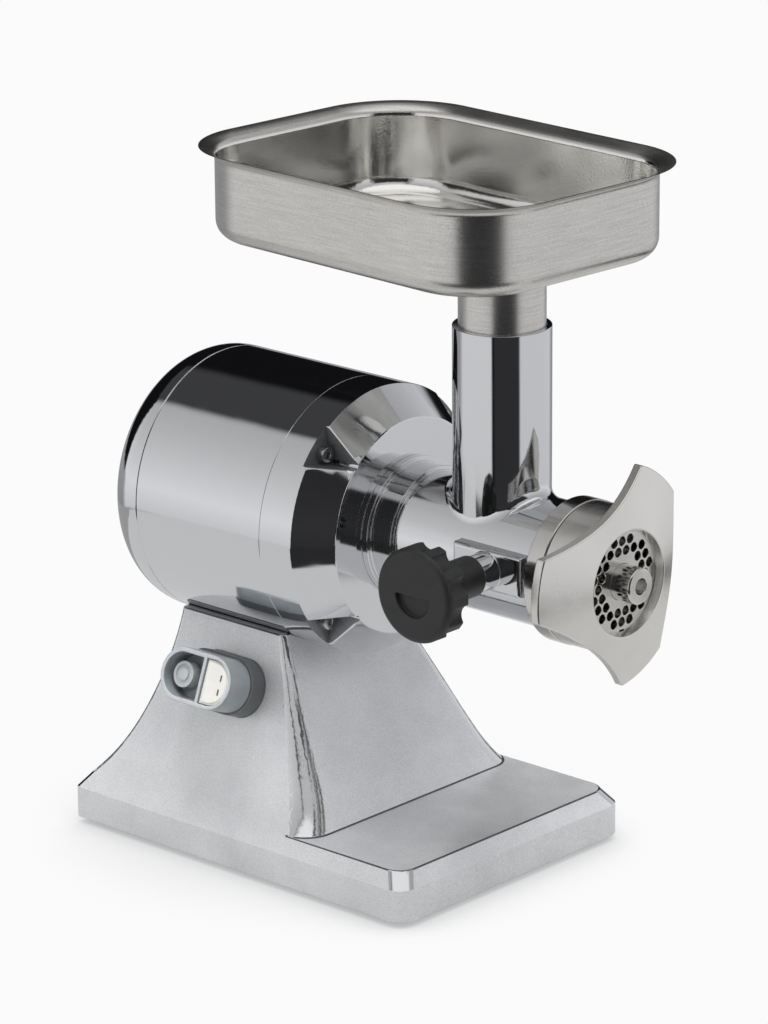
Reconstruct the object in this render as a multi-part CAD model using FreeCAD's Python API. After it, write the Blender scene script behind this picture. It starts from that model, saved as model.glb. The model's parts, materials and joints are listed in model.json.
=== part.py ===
import FreeCAD, Part
import math
import os

from FreeCAD import Vector

# Electric meat grinder with a removable mincing unit, in millimetres.
# The floor is z = 0, the screw and motor axis runs along Y, and the outlet faces -Y.

# Main places
axis_height = 221.0
neck_y = -82.1
cover_face_y = -5.0
motor_front_y = 43.6

# Clearances
running_gap = 0.05
sliding_gap = 0.10
free_gap = 0.3

# Base casting
base_width = 215.6
base_front_y = -93.5
base_rear_y = 196.2
foot_height = 4.0
base_side_height = 21.0
base_height = 30.8
base_bevel = 7.4
front_corner = 13.0
rear_corner = 4.0
casting_wall = 6.0

# Pedestal
pedestal_top_drop = 75.0
pedestal_top_width = 105.0
pedestal_top_front_y = 58.0
pedestal_top_rear_y = 149.0
pedestal_foot_y = -6.8
pedestal_top_corner = 4.0
pedestal_foot_corner = 19.0
side_flare_radius = 60.0
side_flare_height = 25.0
rear_flare_drop = 6.2
saddle_thickness = 10.0

# Underside
bottom_plate_thickness = 1.5
foot_radius = 13.0
foot_taper = 1.5
foot_inset = 22.0
foot_screw_radius = 2.5
foot_screw_head_radius = 4.5
foot_screw_head_height = 1.5
plate_screw_radius = 2.0
plate_screw_head_radius = 3.8
plate_screw_head_height = 2.2
screw_post_radius = 7.0

# Cable gland in the back of the pedestal
gland_rise = 39.2
gland_radius = 8.0
gland_bore_radius = 4.5
gland_nut_radius = 12.0
gland_nut_thickness = 5.0
gland_reach = 14.0
gland_taper = 2.0
gland_boss_margin = 3.0
gland_boss_proud = 1.0

# Motor barrel and cap
motor_radius = 88.0
motor_wall = 6.0
motor_length = 109.2
cap_depth = 33.0
cap_round = 27.0
rib_count = 8
rib_width = 16.0
mount_rib_width = 60.0
mount_bolt_radius = 4.0
mount_bolt_head_radius = 6.5
mount_bolt_head_height = 5.3
mount_bolt_spread = 40.0
mount_bolt_grip = 14.0

# Cap and cover screws
screw_radius = 3.0
screw_head_radius = 5.0
screw_head_height = 6.0
screw_socket_radius = 2.4
screw_head_gap = 0.5
screw_column_wall = 3.0
screw_grip = 18.0
cap_screw_circle = 71.0
cap_pocket_depth = 17.0

# Gearbox cover
cover_edge_y = 17.0
cover_face_radius = 70.3
cover_wall = 8.0
cover_front_wall = 10.0
cover_edge_round = 1.5
pocket_floor_y = 20.0
pocket_half_width = 16.0
pocket_apex_radius = 67.0
pocket_round = 3.0
pocket_wall = 4.0
cover_screw_circle = 78.0

# Bearing shield and electric motor
shield_thickness = 12.0
stator_radius = 64.0
stator_bore_radius = 38.0
stator_length = 62.0
stator_gap_to_shield = 13.4
winding_overhang = 10.0
winding_inner_radius = 42.0
winding_outer_radius = 60.0
air_gap = 0.4
rotor_ring_length = 6.0
rotor_ring_radius = 35.0
rotor_shaft_radius = 10.0
front_bearing_radius = 21.0
rear_journal_radius = 7.5
rear_bearing_radius = 17.5
rear_bearing_width = 11.0
rear_boss_wall = 6.0
fan_radius = 56.0
fan_hub_radius = 16.0
fan_width = 10.0
fan_blades = 9
fan_blade_thickness = 2.0
fan_disc_thickness = 2.0

# Gear train: two equal stages, motor and screw on one axis
gear_module = 1.5
pinion_teeth = 14
gear_teeth = 42
pressure_angle = 25.0
backlash = 0.2
first_gear_width = 11.5
second_gear_width = 13.0
gear_side_gap = 1.0
stage_gap = 2.5
idler_radius = 8.0
idler_journal_radius = 5.0
idler_bearing_radius = 13.0
idler_bearing_width = 8.0
idler_boss_wall = 4.0
output_radius = 15.0
output_bearing_radius = 27.5
output_bearing_width = 13.0
snout_wall = 3.5
snout_reach = 25.0
seal_width = 6.0
seal_lip_radius = 15.0
drive_hub_radius = 16.0
drive_hub_length = 17.0
drive_flats = 18.0
drive_depth = 14.0

# Head casting
head_flange_radius = 43.0
head_flange_length = 22.0
head_collar_rise = 3.0
head_collar_length = 5.0
head_seat_depth = 2.0
barrel_radius = 40.5
barrel_front_y = -139.0
sleeve_radius = 33.4
neck_radius = 31.0
neck_top_z = 367.2
neck_blend = 8.0
spout_depth = 25.0
head_screw_circle = 37.0
head_screw_radius = 2.5
head_screw_head_radius = 4.3
head_screw_head_height = 5.0
head_screw_grip = 14.0

# Clamp boss, screw and knob on the -X side
clamp_y = -108.5
clamp_rise = 3.5
boss_length = 55.0
boss_height = 26.0
boss_face_x = -46.0
boss_edge_round = 2.5
boss_round_radius = 12.0
boss_round_length = 14.0
stem_radius = 6.0
pad_length = 4.0
knob_hub_radius = 13.0
knob_hub_length = 35.5
knob_radius = 30.0
knob_rim_length = 18.0
knob_edge_round = 4.5
knob_lobes = 10
knob_scallop_radius = 7.5
knob_scallop_depth = 4.0
knob_cap_radius = 13.5
knob_cap_depth = 3.0
knob_wall = 5.0

# Mincing unit
sleeve_bore_radius = 29.0
sleeve_rear_y = -45.0
sleeve_lip_radius = 18.0
sleeve_lip_length = 4.0
band_radius = 46.0
band_length = 12.5
thread_radius = 40.5
thread_length = 24.5
plate_radius = 35.0
plate_thickness = 9.0
plate_proud = 3.0
plate_hole_radius = 3.0
plate_hole_pitch = 7.5
plate_rim = 4.0
plate_hub_wall = 3.0
plate_pin_radius = 2.0
plate_pin_depth = 4.0
plate_pin_cover = 1.0
knife_radius = 33.0
knife_thickness = 8.5
knife_arm_width = 13.0
knife_hub_radius = 14.0
knife_square = 17.0
knife_rake = 4.0

# Feed screw
screw_gap = 0.5
screw_collar_length = 8.0
screw_pitch = 34.0
screw_turns = 2.8
screw_core_rear_radius = 11.0
screw_core_front_radius = 16.0
flight_thickness = 6.0
spigot_radius = 11.5
spigot_hole_radius = 5.3
spigot_hole_depth = 9.0
spigot_reach = 15.0
spigot_chamfer = 1.0

# Ring nut
nut_radius = 45.5
nut_face_reach = 5.8
nut_mouth_radius = 33.8
nut_lip_radius = 31.6
wing_radius = 72.0
wing_width = 40.0
wing_waist_radius = 46.5
wing_setback = 12.0
wing_thickness = 6.0
wing_first_angle = 53.0
wing_count = 3

# Tray
tray_width = 189.3
tray_length = 258.0
tray_bottom_z = 408.4
tray_depth = 58.6
tray_sheet = 1.2
tray_corner = 50.0
tray_bottom_round = 12.0
tray_rim = 10.0
tray_rim_rise = 4.5
tray_turn = -3.72
tray_reach = 54.0
tray_side = -4.0
tray_dish_radius = 46.0
tray_dish_depth = 4.0
spout_radius = 27.35
spout_wall = 1.3

# Switch, square to the sloping -X side of the pedestal
switch_y = 93.8
switch_drop = 37.0
switch_length = 64.0
switch_height = 38.0
switch_recess = 0.5
bezel_thickness = 13.0
hood_inset = 1.5
hood_reach = 20.0
hood_wall = 3.0
hood_floor = 4.0
divider_width = 3.0
divider_offset = -5.0
button_gap = 0.4
button_travel = 3.0
button_recess = 1.5
stop_button_recess = 5.0
stop_button_radius = 8.5
stop_button_offset = 15.0
button_stem_radius = 4.0
contact_block_depth = 26.0
contact_block_length = 44.0
contact_block_height = 24.0

# Parts on the bottom plate
capacitor_radius = 17.0
capacitor_length = 62.0
capacitor_y = 100.0
capacitor_x = 30.0
clamp_strap = 1.5
clamp_strap_width = 14.0
clamp_foot = 12.0
terminal_length = 46.0
terminal_width = 20.0
terminal_height = 16.0
terminal_x = -35.0
terminal_ways = 4
terminal_hole_radius = 2.5

# Places that follow from the sizes above
base_top_z = foot_height + base_height
pedestal_top_z = axis_height - pedestal_top_drop
rear_flare_height = pedestal_top_z - rear_flare_drop - base_top_z
gland_z = base_top_z + gland_rise
saddle_z = axis_height - motor_radius - saddle_thickness
switch_z = pedestal_top_z - switch_drop
motor_rear_y = motor_front_y + motor_length
cap_rear_y = motor_rear_y + cap_depth
motor_bore_radius = motor_radius - motor_wall
shield_rear_y = motor_front_y + shield_thickness
stator_front_y = shield_rear_y + stator_gap_to_shield
stator_rear_y = stator_front_y + stator_length
rotor_radius = stator_bore_radius - air_gap
cover_inner_y = cover_face_y + cover_front_wall
idler_z = axis_height - gear_module * (pinion_teeth + gear_teeth) / 2
first_gear_rear_y = motor_front_y - gear_side_gap
first_gear_front_y = first_gear_rear_y - first_gear_width
second_gear_rear_y = first_gear_front_y - stage_gap
second_gear_front_y = second_gear_rear_y - second_gear_width
inner_boss_y = second_gear_front_y - gear_side_gap
snout_radius = output_bearing_radius + snout_wall
snout_front_y = cover_face_y - snout_reach
seal_rear_y = snout_front_y + seal_width
drive_front_y = snout_front_y - free_gap - drive_hub_length
head_bore_radius = sleeve_radius + sliding_gap
neck_bore_radius = spout_radius + sliding_gap
throat_radius = spout_radius - spout_wall
spout_bottom_z = neck_top_z - spout_depth
band_front_y = barrel_front_y - band_length
sleeve_front_y = band_front_y - thread_length
plate_front_y = sleeve_front_y - plate_proud
plate_rear_y = plate_front_y + plate_thickness
knife_rear_y = plate_rear_y + knife_thickness
cup_floor_y = knife_rear_y + free_gap
cup_radius = plate_radius + sliding_gap
nut_face_y = plate_front_y - nut_face_reach
spigot_front_y = plate_front_y - spigot_reach
collar_rear_y = sleeve_rear_y - sleeve_lip_length - free_gap
collar_front_y = collar_rear_y - screw_collar_length
clamp_z = axis_height + clamp_rise
pad_tip_x = -sleeve_radius
pad_rear_x = pad_tip_x - pad_length
boss_end_x = boss_face_x - boss_round_length
knob_hub_x = boss_end_x - free_gap
knob_rim_x = knob_hub_x - knob_hub_length
knob_face_x = knob_rim_x - knob_rim_length

DIAGONALS = [45, 135, 225, 315]


# Basic solids

def rod(radius, y_from, y_to, x=0.0, z=axis_height):
    """Cylinder along Y, on the main axis unless another one is given."""
    low = min(y_from, y_to)
    return Part.makeCylinder(radius, abs(y_to - y_from), Vector(x, low, z), Vector(0, 1, 0))


def ring(outer, inner, y_from, y_to, x=0.0, z=axis_height):
    """Tube along Y."""
    return rod(outer, y_from, y_to, x, z).cut(rod(inner, y_from, y_to, x, z))


def cross_rod(radius, x_from, x_to, y, z):
    """Cylinder along X."""
    low = min(x_from, x_to)
    return Part.makeCylinder(radius, abs(x_to - x_from), Vector(low, y, z), Vector(1, 0, 0))


def post(radius, x, y, z_from, z_to):
    """Upright cylinder."""
    return Part.makeCylinder(radius, z_to - z_from, Vector(x, y, z_from))


def block(x_from, x_to, y_from, y_to, z_from, z_to):
    """Box between two corners."""
    return Part.makeBox(x_to - x_from, y_to - y_from, z_to - z_from, Vector(x_from, y_from, z_from))


def lathe(profile, z=axis_height):
    """Solid turned about the main axis from (radius, y) points."""
    points = [Vector(radius, y, z) for radius, y in profile]
    face = Part.Face(Part.makePolygon(points + points[:1]))
    return face.revolve(Vector(0, 0, z), Vector(0, 1, 0), 360)


def fused(shapes):
    """One solid from several that meet."""
    first = shapes[0]
    rest = list(shapes[1:])
    return first.fuse(rest).removeSplitter() if rest else first


def about_axis(shape, degrees, x=0.0, z=axis_height):
    """Copy turned about an axis along Y, from +X towards +Z."""
    copy = shape.copy()
    copy.rotate(Vector(x, 0, z), Vector(0, -1, 0), degrees)
    return copy


def arc(first, middle, last):
    return Part.Arc(first, middle, last).toShape()


def line(first, last):
    return Part.LineSegment(first, last).toShape()


def rounded_outline(x_from, x_to, y_from, y_to, z, front_radius, rear_radius):
    """Level rectangle with one radius at its front corners and one at its rear corners."""
    corners = [
        (x_to, y_from, front_radius, -90),
        (x_to, y_to, rear_radius, 0),
        (x_from, y_to, rear_radius, 90),
        (x_from, y_from, front_radius, 180),
    ]
    arcs = []
    for x, y, radius, start in corners:
        centre = Vector(x - math.copysign(radius, x - (x_from + x_to) / 2),
                        y - math.copysign(radius, y - (y_from + y_to) / 2), z)
        spots = []
        for step in (0, 45, 90):
            angle = math.radians(start + step)
            spots.append(centre + Vector(radius * math.cos(angle), radius * math.sin(angle), 0))
        arcs.append(spots)
    edges = []
    for number, spots in enumerate(arcs):
        edges.append(arc(*spots))
        edges.append(line(spots[2], arcs[(number + 1) % 4][0]))
    return Part.Wire(edges)


def raised(wire, height):
    """Upright solid over a level outline."""
    return Part.Face(wire).extrude(Vector(0, 0, height))


def stadium(half_length, half_height, x_from, x_to, y=switch_y, z=switch_z):
    """Slot-shaped solid along X with round front and rear ends."""
    straight = half_length - half_height
    top = Vector(x_from, y + straight, z + half_height)
    low = Vector(x_from, y + straight, z - half_height)
    back = Vector(x_from, y + half_length, z)
    front_top = Vector(x_from, y - straight, z + half_height)
    front_low = Vector(x_from, y - straight, z - half_height)
    front = Vector(x_from, y - half_length, z)
    wire = Part.Wire([line(front_top, top), arc(top, back, low), line(low, front_low),
                      arc(front_low, front, front_top)])
    return Part.Face(wire).extrude(Vector(x_to - x_from, 0, 0))


def cap_screw(radius, head_radius, head_height, y_head, y_end, x, z, socket_radius):
    """Socket screw along Y whose head sits on y_head and whose tip is at y_end."""
    away = math.copysign(1, y_head - y_end)
    top = y_head + away * head_height
    body = fused([rod(radius, y_head, y_end, x, z), rod(head_radius, y_head, top, x, z)])
    socket = hexagon(socket_radius, top, top - away * head_height * 0.55, x, z)
    return body.cut(socket)


def hexagon(radius, y_from, y_to, x=0.0, z=axis_height):
    """Six-sided prism along Y, with its corner radius."""
    low = min(y_from, y_to)
    points = []
    for side in range(7):
        angle = math.radians(60 * side)
        points.append(Vector(x + radius * math.cos(angle), low, z + radius * math.sin(angle)))
    return Part.Face(Part.makePolygon(points)).extrude(Vector(0, abs(y_to - y_from), 0))


def at_diagonal(circle, degrees):
    """Place on a circle about the main axis, as x and z."""
    angle = math.radians(degrees)
    return circle * math.cos(angle), axis_height + circle * math.sin(angle)


# Base casting

def pedestal_side(z):
    """Half width of the pedestal at a height: a straight slope with a flared foot."""
    flare = 0.0
    if z < base_top_z + side_flare_height:
        below = base_top_z + side_flare_height - z
        flare = side_flare_radius - math.sqrt(side_flare_radius ** 2 - below ** 2)
    full_flare = side_flare_radius - math.sqrt(side_flare_radius ** 2 - side_flare_height ** 2)
    foot = base_width / 2 - base_bevel - full_flare
    share = (pedestal_top_z - z) / (pedestal_top_z - base_top_z)
    return pedestal_top_width / 2 + share * (foot - pedestal_top_width / 2) + flare


def pedestal_front(z):
    """Front face of the pedestal: one sloping plane."""
    share = (pedestal_top_z - z) / (pedestal_top_z - base_top_z)
    return pedestal_top_front_y + share * (pedestal_foot_y - pedestal_top_front_y)


def pedestal_rear(z):
    """Back of the pedestal: upright above, then one arc out to the base."""
    reach = base_rear_y - base_bevel - pedestal_top_rear_y
    radius = (rear_flare_height ** 2 + reach ** 2) / (2 * reach)
    below = max(0.0, base_top_z + rear_flare_height - z)
    return pedestal_top_rear_y + radius - math.sqrt(radius ** 2 - below ** 2)


def pedestal_section(z, inset):
    """Outline of the pedestal at a height, drawn in by a wall."""
    share = (pedestal_top_z - z) / (pedestal_top_z - base_top_z)
    corner = pedestal_top_corner + share * (pedestal_foot_corner - pedestal_top_corner)
    half = pedestal_side(z) - inset
    front_radius = max(corner - inset, 1.0)
    rear_radius = max(rear_corner - inset, 1.0)
    return rounded_outline(-half, half, pedestal_front(z) + inset, pedestal_rear(z) - inset, z,
                           front_radius, rear_radius)


def pedestal_loft(z_from, z_to, inset):
    """Flared column between two heights, with closer sections at the flared foot."""
    flare_top = base_top_z + side_flare_height
    heights = [z_from]
    heights += [base_top_z + side_flare_height * share for share in (0.25, 0.55)]
    heights += [flare_top + (z_to - flare_top) * share for share in (0.0, 0.3, 0.65, 1.0)]
    return Part.makeLoft([pedestal_section(z, inset) for z in heights], True, False)


def foot_places():
    half = base_width / 2 - foot_inset
    spots = []
    for x in (-half, half):
        for y in (base_front_y + foot_inset, base_rear_y - foot_inset):
            spots.append((x, y))
    return spots


def plate_screw_places():
    half = base_width / 2 - foot_inset
    middle = (base_front_y + base_rear_y) / 2
    return [(-half, middle), (half, middle)]


def pedestal_base():
    half = base_width / 2
    bevel_z = foot_height + base_side_height
    floor_outline = rounded_outline(-half, half, base_front_y, base_rear_y, foot_height, front_corner,
                                    rear_corner)
    low = raised(floor_outline, base_side_height)
    bevel = Part.makeLoft([
        rounded_outline(-half, half, base_front_y, base_rear_y, bevel_z, front_corner, rear_corner),
        rounded_outline(-half + base_bevel, half - base_bevel, base_front_y + base_bevel,
                        base_rear_y - base_bevel, base_top_z, front_corner, rear_corner),
    ], True, True)
    solid = fused([
        low,
        bevel,
        pedestal_loft(base_top_z, pedestal_top_z, 0.0),
        rod(gland_boss_radius(), gland_inner_y(), gland_seat_y(), 0, gland_z),
    ])
    outside = solid.copy()
    wall = casting_wall
    hollow_top = base_top_z - wall
    lower_hollow = raised(
        rounded_outline(-half + wall, half - wall, base_front_y + wall, base_rear_y - wall, foot_height,
                        front_corner - wall / 2, max(rear_corner - wall / 2, 1.0)),
        hollow_top - foot_height)
    upper_hollow = pedestal_loft(base_top_z, saddle_z, wall)
    gland_boss = rod(gland_boss_radius(), gland_inner_y(), gland_seat_y(), 0, gland_z)
    opening = raised(pedestal_section(base_top_z, wall), -2 * wall)
    solid = solid.cut(fused([lower_hollow, opening, upper_hollow]))
    posts = [gland_boss]
    for x, y in foot_places() + plate_screw_places():
        column = post(screw_post_radius, x, y, foot_height + bottom_plate_thickness, saddle_z)
        posts.append(column.common(outside))
    solid = solid.fuse(posts).removeSplitter()
    solid = solid.cut(rod(motor_radius, motor_front_y - cap_depth, cap_rear_y))
    holes = [rod(gland_radius, gland_inner_y(), gland_seat_y(), 0, gland_z)]
    holes.append(tilted(stadium(switch_length / 2 + sliding_gap, switch_height / 2 + sliding_gap,
                                switch_seat_x(), switch_seat_x() - casting_wall)))
    holes.append(tilted(contact_room(switch_seat_x() - 1, switch_seat_x() + casting_wall * 2)))
    for x, y in foot_places():
        holes.append(post(foot_screw_radius, x, y, foot_height, hollow_top))
    for x, y in plate_screw_places():
        holes.append(post(plate_screw_radius, x, y, foot_height, hollow_top))
    for x, y in mount_bolt_places():
        holes.append(post(mount_bolt_radius, x, y, saddle_z - 1, axis_height))
    return solid.cut(holes)


def bottom_plate():
    """Sheet that closes the casting from below, inside its rim."""
    inset = casting_wall + sliding_gap
    half = base_width / 2 - inset
    sheet = raised(rounded_outline(-half, half, base_front_y + inset, base_rear_y - inset, foot_height,
                                   front_corner - casting_wall / 2, max(rear_corner - casting_wall / 2, 1.0)),
                   bottom_plate_thickness)
    holes = [post(foot_screw_radius, x, y, 0, base_top_z) for x, y in foot_places()]
    holes += [post(plate_screw_radius, x, y, 0, base_top_z) for x, y in plate_screw_places()]
    return sheet.cut(holes)


def rubber_feet():
    feet = []
    for x, y in foot_places():
        foot = Part.makeCone(foot_radius - foot_taper, foot_radius, foot_height, Vector(x, y, 0))
        sink = post(foot_screw_head_radius + sliding_gap, x, y, 0, foot_height / 2)
        feet.append(foot.cut([sink, post(foot_screw_radius, x, y, 0, foot_height)]))
    return Part.makeCompound(feet)


def foot_screws():
    screws = []
    for x, y in foot_places():
        head = post(foot_screw_head_radius, x, y, foot_height / 2 - foot_screw_head_height, foot_height / 2)
        shank = post(foot_screw_radius, x, y, foot_height / 2 - 0.5, base_top_z - casting_wall * 2)
        screws.append(head.fuse(shank).removeSplitter())
    return Part.makeCompound(screws)


def bottom_plate_screws():
    screws = []
    for x, y in plate_screw_places():
        head = post(plate_screw_head_radius, x, y, foot_height - plate_screw_head_height, foot_height)
        shank = post(plate_screw_radius, x, y, foot_height - 1, base_top_z - casting_wall * 2)
        screws.append(head.fuse(shank).removeSplitter())
    return Part.makeCompound(screws)


# Cable gland

def gland_boss_radius():
    return gland_nut_radius + gland_boss_margin


def gland_seat_y():
    """Flat of the boss for the gland: just proud of the back where the boss is lowest."""
    return pedestal_rear(gland_z - gland_boss_radius()) + gland_boss_proud


def gland_inner_y():
    """Flat of the boss inside, just proud of the wall where the boss is highest."""
    return pedestal_rear(gland_z + gland_boss_radius()) - casting_wall - gland_boss_proud


def cable_gland():
    seat = gland_seat_y()
    body = fused([
        rod(gland_radius, gland_inner_y() - gland_nut_thickness * 1.5, seat, 0, gland_z),
        hexagon(gland_nut_radius, seat, seat + gland_nut_thickness, 0, gland_z),
        Part.makeCone(gland_radius + gland_taper, gland_radius, gland_reach - gland_nut_thickness,
                      Vector(0, seat + gland_nut_thickness, gland_z), Vector(0, 1, 0)),
    ])
    bore_from = gland_inner_y() - gland_nut_thickness * 2
    return body.cut(rod(gland_bore_radius, bore_from, seat + gland_reach, 0, gland_z))


def gland_nut():
    seat = gland_inner_y()
    nut = hexagon(gland_nut_radius, seat - gland_nut_thickness, seat, 0, gland_z)
    return nut.cut(rod(gland_radius, seat - gland_nut_thickness, seat, 0, gland_z))


# Motor

def mount_bolt_places():
    spots = []
    for x in (-mount_bolt_spread / 2, mount_bolt_spread / 2):
        for y in (pedestal_top_front_y + motor_wall * 3, pedestal_top_rear_y - motor_wall * 3):
            spots.append((x, y))
    return spots


def motor_barrel():
    """Cast shell with ribs inside that hold the stator and take the screws."""
    shell = ring(motor_radius, motor_bore_radius, motor_front_y, motor_rear_y)
    ribs = []
    for number in range(rib_count):
        degrees = 360 / rib_count * number
        width = mount_rib_width if degrees == 270 else rib_width
        rib = block(stator_radius - motor_wall, motor_bore_radius + motor_wall / 2, shield_rear_y,
                    stator_rear_y + winding_overhang, axis_height - width / 2, axis_height + width / 2)
        ribs.append(about_axis(rib, degrees))
    inside = rod(motor_bore_radius + motor_wall / 2, motor_front_y, motor_rear_y)
    ribs = fused(ribs).common(inside).cut(rod(stator_radius, motor_front_y, motor_rear_y))
    shell = shell.fuse(ribs).removeSplitter()
    holes = []
    for degrees in DIAGONALS:
        x, z = at_diagonal(cover_screw_circle, degrees)
        holes.append(rod(screw_radius, shield_rear_y, shield_rear_y + screw_grip, x, z))
        x, z = at_diagonal(cap_screw_circle, degrees)
        holes.append(rod(screw_radius, stator_rear_y + winding_overhang - screw_grip, motor_rear_y, x, z))
    for x, y in mount_bolt_places():
        holes.append(post(mount_bolt_radius, x, y, saddle_z, saddle_z + saddle_thickness + mount_bolt_grip))
    return shell.cut(holes)


def motor_bolts():
    bolts = []
    for x, y in mount_bolt_places():
        head = post(mount_bolt_head_radius, x, y, saddle_z - mount_bolt_head_height, saddle_z)
        shank = post(mount_bolt_radius, x, y, saddle_z - 1, saddle_z + saddle_thickness + mount_bolt_grip)
        bolts.append(head.fuse(shank).removeSplitter())
    return Part.makeCompound(bolts)


def cap_screw_seat_y():
    return cap_rear_y - cap_pocket_depth


def rear_cap():
    """Rounded end of the motor with the rear bearing's boss and columns for its screws."""
    outer = rod(motor_radius, motor_rear_y, cap_rear_y)
    rim = [edge for edge in outer.Edges if abs(edge.BoundBox.YMin - cap_rear_y) < 0.01]
    outer = outer.makeFillet(cap_round, rim[:1])
    inner = rod(motor_bore_radius, motor_rear_y - 1, cap_rear_y - motor_wall)
    rim = [edge for edge in inner.Edges if abs(edge.BoundBox.YMin - (cap_rear_y - motor_wall)) < 0.01]
    inner = inner.makeFillet(cap_round - motor_wall / 2, rim[:1])
    shell = outer.cut(inner)
    boss_front = cap_rear_y - motor_wall - rear_bearing_width
    added = [rod(rear_bearing_radius + rear_boss_wall, boss_front, cap_rear_y - motor_wall / 2)]
    for degrees in DIAGONALS:
        x, z = at_diagonal(cap_screw_circle, degrees)
        added.append(rod(screw_head_radius + screw_column_wall, motor_rear_y, cap_rear_y - motor_wall / 2,
                         x, z))
    shell = shell.fuse([piece.common(outer) for piece in added]).removeSplitter()
    holes = [rod(rear_bearing_radius, boss_front - 1, cap_rear_y - motor_wall)]
    for degrees in DIAGONALS:
        x, z = at_diagonal(cap_screw_circle, degrees)
        holes.append(rod(screw_radius, motor_rear_y, cap_rear_y, x, z))
        holes.append(rod(screw_head_radius + screw_head_gap, cap_screw_seat_y(), cap_rear_y, x, z))
    return shell.cut(holes)


def rear_cap_screws():
    screws = []
    for degrees in DIAGONALS:
        x, z = at_diagonal(cap_screw_circle, degrees)
        screws.append(cap_screw(screw_radius, screw_head_radius, screw_head_height, cap_screw_seat_y(),
                                stator_rear_y + winding_overhang - screw_grip, x, z, screw_socket_radius))
    return Part.makeCompound(screws)


def bearing_shield():
    """Wall between the motor and the gears, clamped in the front of the barrel."""
    disc = rod(motor_bore_radius, motor_front_y, shield_rear_y)
    holes = [
        rod(front_bearing_radius, motor_front_y, shield_rear_y),
        rod(idler_bearing_radius, motor_front_y, motor_front_y + idler_bearing_width, 0, idler_z),
    ]
    for degrees in DIAGONALS:
        x, z = at_diagonal(cover_screw_circle, degrees)
        holes.append(rod(screw_radius, motor_front_y, shield_rear_y, x, z))
    return disc.cut(holes)


def front_bearing():
    return ring(front_bearing_radius, rotor_shaft_radius + running_gap, motor_front_y, shield_rear_y)


def rear_bearing():
    front = cap_rear_y - motor_wall - rear_bearing_width
    return ring(rear_bearing_radius, rear_journal_radius + running_gap, front, cap_rear_y - motor_wall)


def stator_core():
    return ring(stator_radius, stator_bore_radius, stator_front_y, stator_rear_y)


def stator_windings():
    """Coil heads that stand out of both ends of the core."""
    heads = []
    for y_core, y_end in ((stator_front_y, stator_front_y - winding_overhang),
                          (stator_rear_y, stator_rear_y + winding_overhang)):
        head = ring(winding_outer_radius, winding_inner_radius, y_core, y_end)
        rims = [edge for edge in head.Edges if abs(edge.BoundBox.YMin - y_end) < 0.01
                and edge.BoundBox.YLength < 0.01]
        heads.append(head.makeFillet(winding_overhang * 0.4, rims))
    return Part.makeCompound(heads)


def rotor_core():
    core = rod(rotor_radius, stator_front_y, stator_rear_y)
    rings = rod(rotor_ring_radius, stator_front_y - rotor_ring_length, stator_rear_y + rotor_ring_length)
    hole = rod(rotor_shaft_radius, motor_front_y, motor_rear_y)
    return core.fuse(rings).removeSplitter().cut(hole)


def rotor_shaft():
    """Stepped shaft from the pinion's end to the rear bearing."""
    step = cap_rear_y - motor_wall - rear_bearing_width - free_gap
    return fused([
        rod(rotor_shaft_radius, motor_front_y, step),
        rod(rear_journal_radius, step - 1, cap_rear_y - motor_wall - free_gap),
        rod(pinion_bore_radius(), first_gear_front_y, motor_front_y + 1),
    ])


def cooling_fan():
    """Bladed disc on the shaft behind the windings."""
    front = stator_rear_y + winding_overhang + gear_side_gap
    disc = rod(fan_radius, front, front + fan_disc_thickness)
    hub = rod(fan_hub_radius, front, front + fan_width)
    blade = block(fan_hub_radius - 1, fan_radius, front, front + fan_width,
                  axis_height - fan_blade_thickness / 2, axis_height + fan_blade_thickness / 2)
    blades = [about_axis(blade, 360 / fan_blades * number) for number in range(fan_blades)]
    body = disc.fuse([hub] + blades).removeSplitter()
    return body.cut(rod(rotor_shaft_radius, front, front + fan_width))


# Gears

def pinion_bore_radius():
    return rotor_shaft_radius * 0.6


def involute(angle):
    return math.tan(angle) - angle


def gear_outline(teeth, first_angle, x, z, y):
    """Closed outline of a spur gear, with the middle of one tooth at first_angle."""
    pitch_radius = gear_module * teeth / 2
    slope = math.radians(pressure_angle)
    base_radius = pitch_radius * math.cos(slope)
    tip = pitch_radius + gear_module
    root = pitch_radius - 1.25 * gear_module
    half_at_pitch = math.pi / (2 * teeth) - backlash / (4 * pitch_radius)

    def half_angle(radius):
        local = math.acos(min(1.0, base_radius / radius))
        return half_at_pitch + involute(slope) - involute(local)

    def spot(radius, angle):
        return Vector(x + radius * math.cos(angle), y, z + radius * math.sin(angle))

    start = max(base_radius, root + 0.05)
    radii = (start, (start + tip) / 2, tip)
    edges = []
    for tooth in range(teeth):
        middle = math.radians(first_angle) + 2 * math.pi * tooth / teeth
        following = middle + 2 * math.pi / teeth
        rising = [spot(radius, middle - half_angle(radius)) for radius in radii]
        falling = [spot(radius, middle + half_angle(radius)) for radius in reversed(radii)]
        foot_before = spot(root, middle - half_angle(start))
        foot_after = spot(root, middle + half_angle(start))
        next_foot = spot(root, following - half_angle(start))
        edges.append(line(foot_before, rising[0]))
        edges.append(arc(*rising))
        edges.append(arc(rising[2], spot(tip, middle), falling[0]))
        edges.append(arc(*falling))
        edges.append(line(falling[2], foot_after))
        edges.append(arc(foot_after, spot(root, middle + math.pi / teeth), next_foot))
    return Part.Wire(edges)


def gear(teeth, y_from, y_to, first_angle, z, bore):
    """Spur gear along Y with a plain bore."""
    face = Part.Face(gear_outline(teeth, first_angle, 0.0, z, y_from))
    solid = face.extrude(Vector(0, y_to - y_from, 0))
    return solid.cut(rod(bore, y_from, y_to, 0, z))


def motor_pinion():
    return gear(pinion_teeth, first_gear_front_y, first_gear_rear_y, -90, axis_height, pinion_bore_radius())


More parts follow.
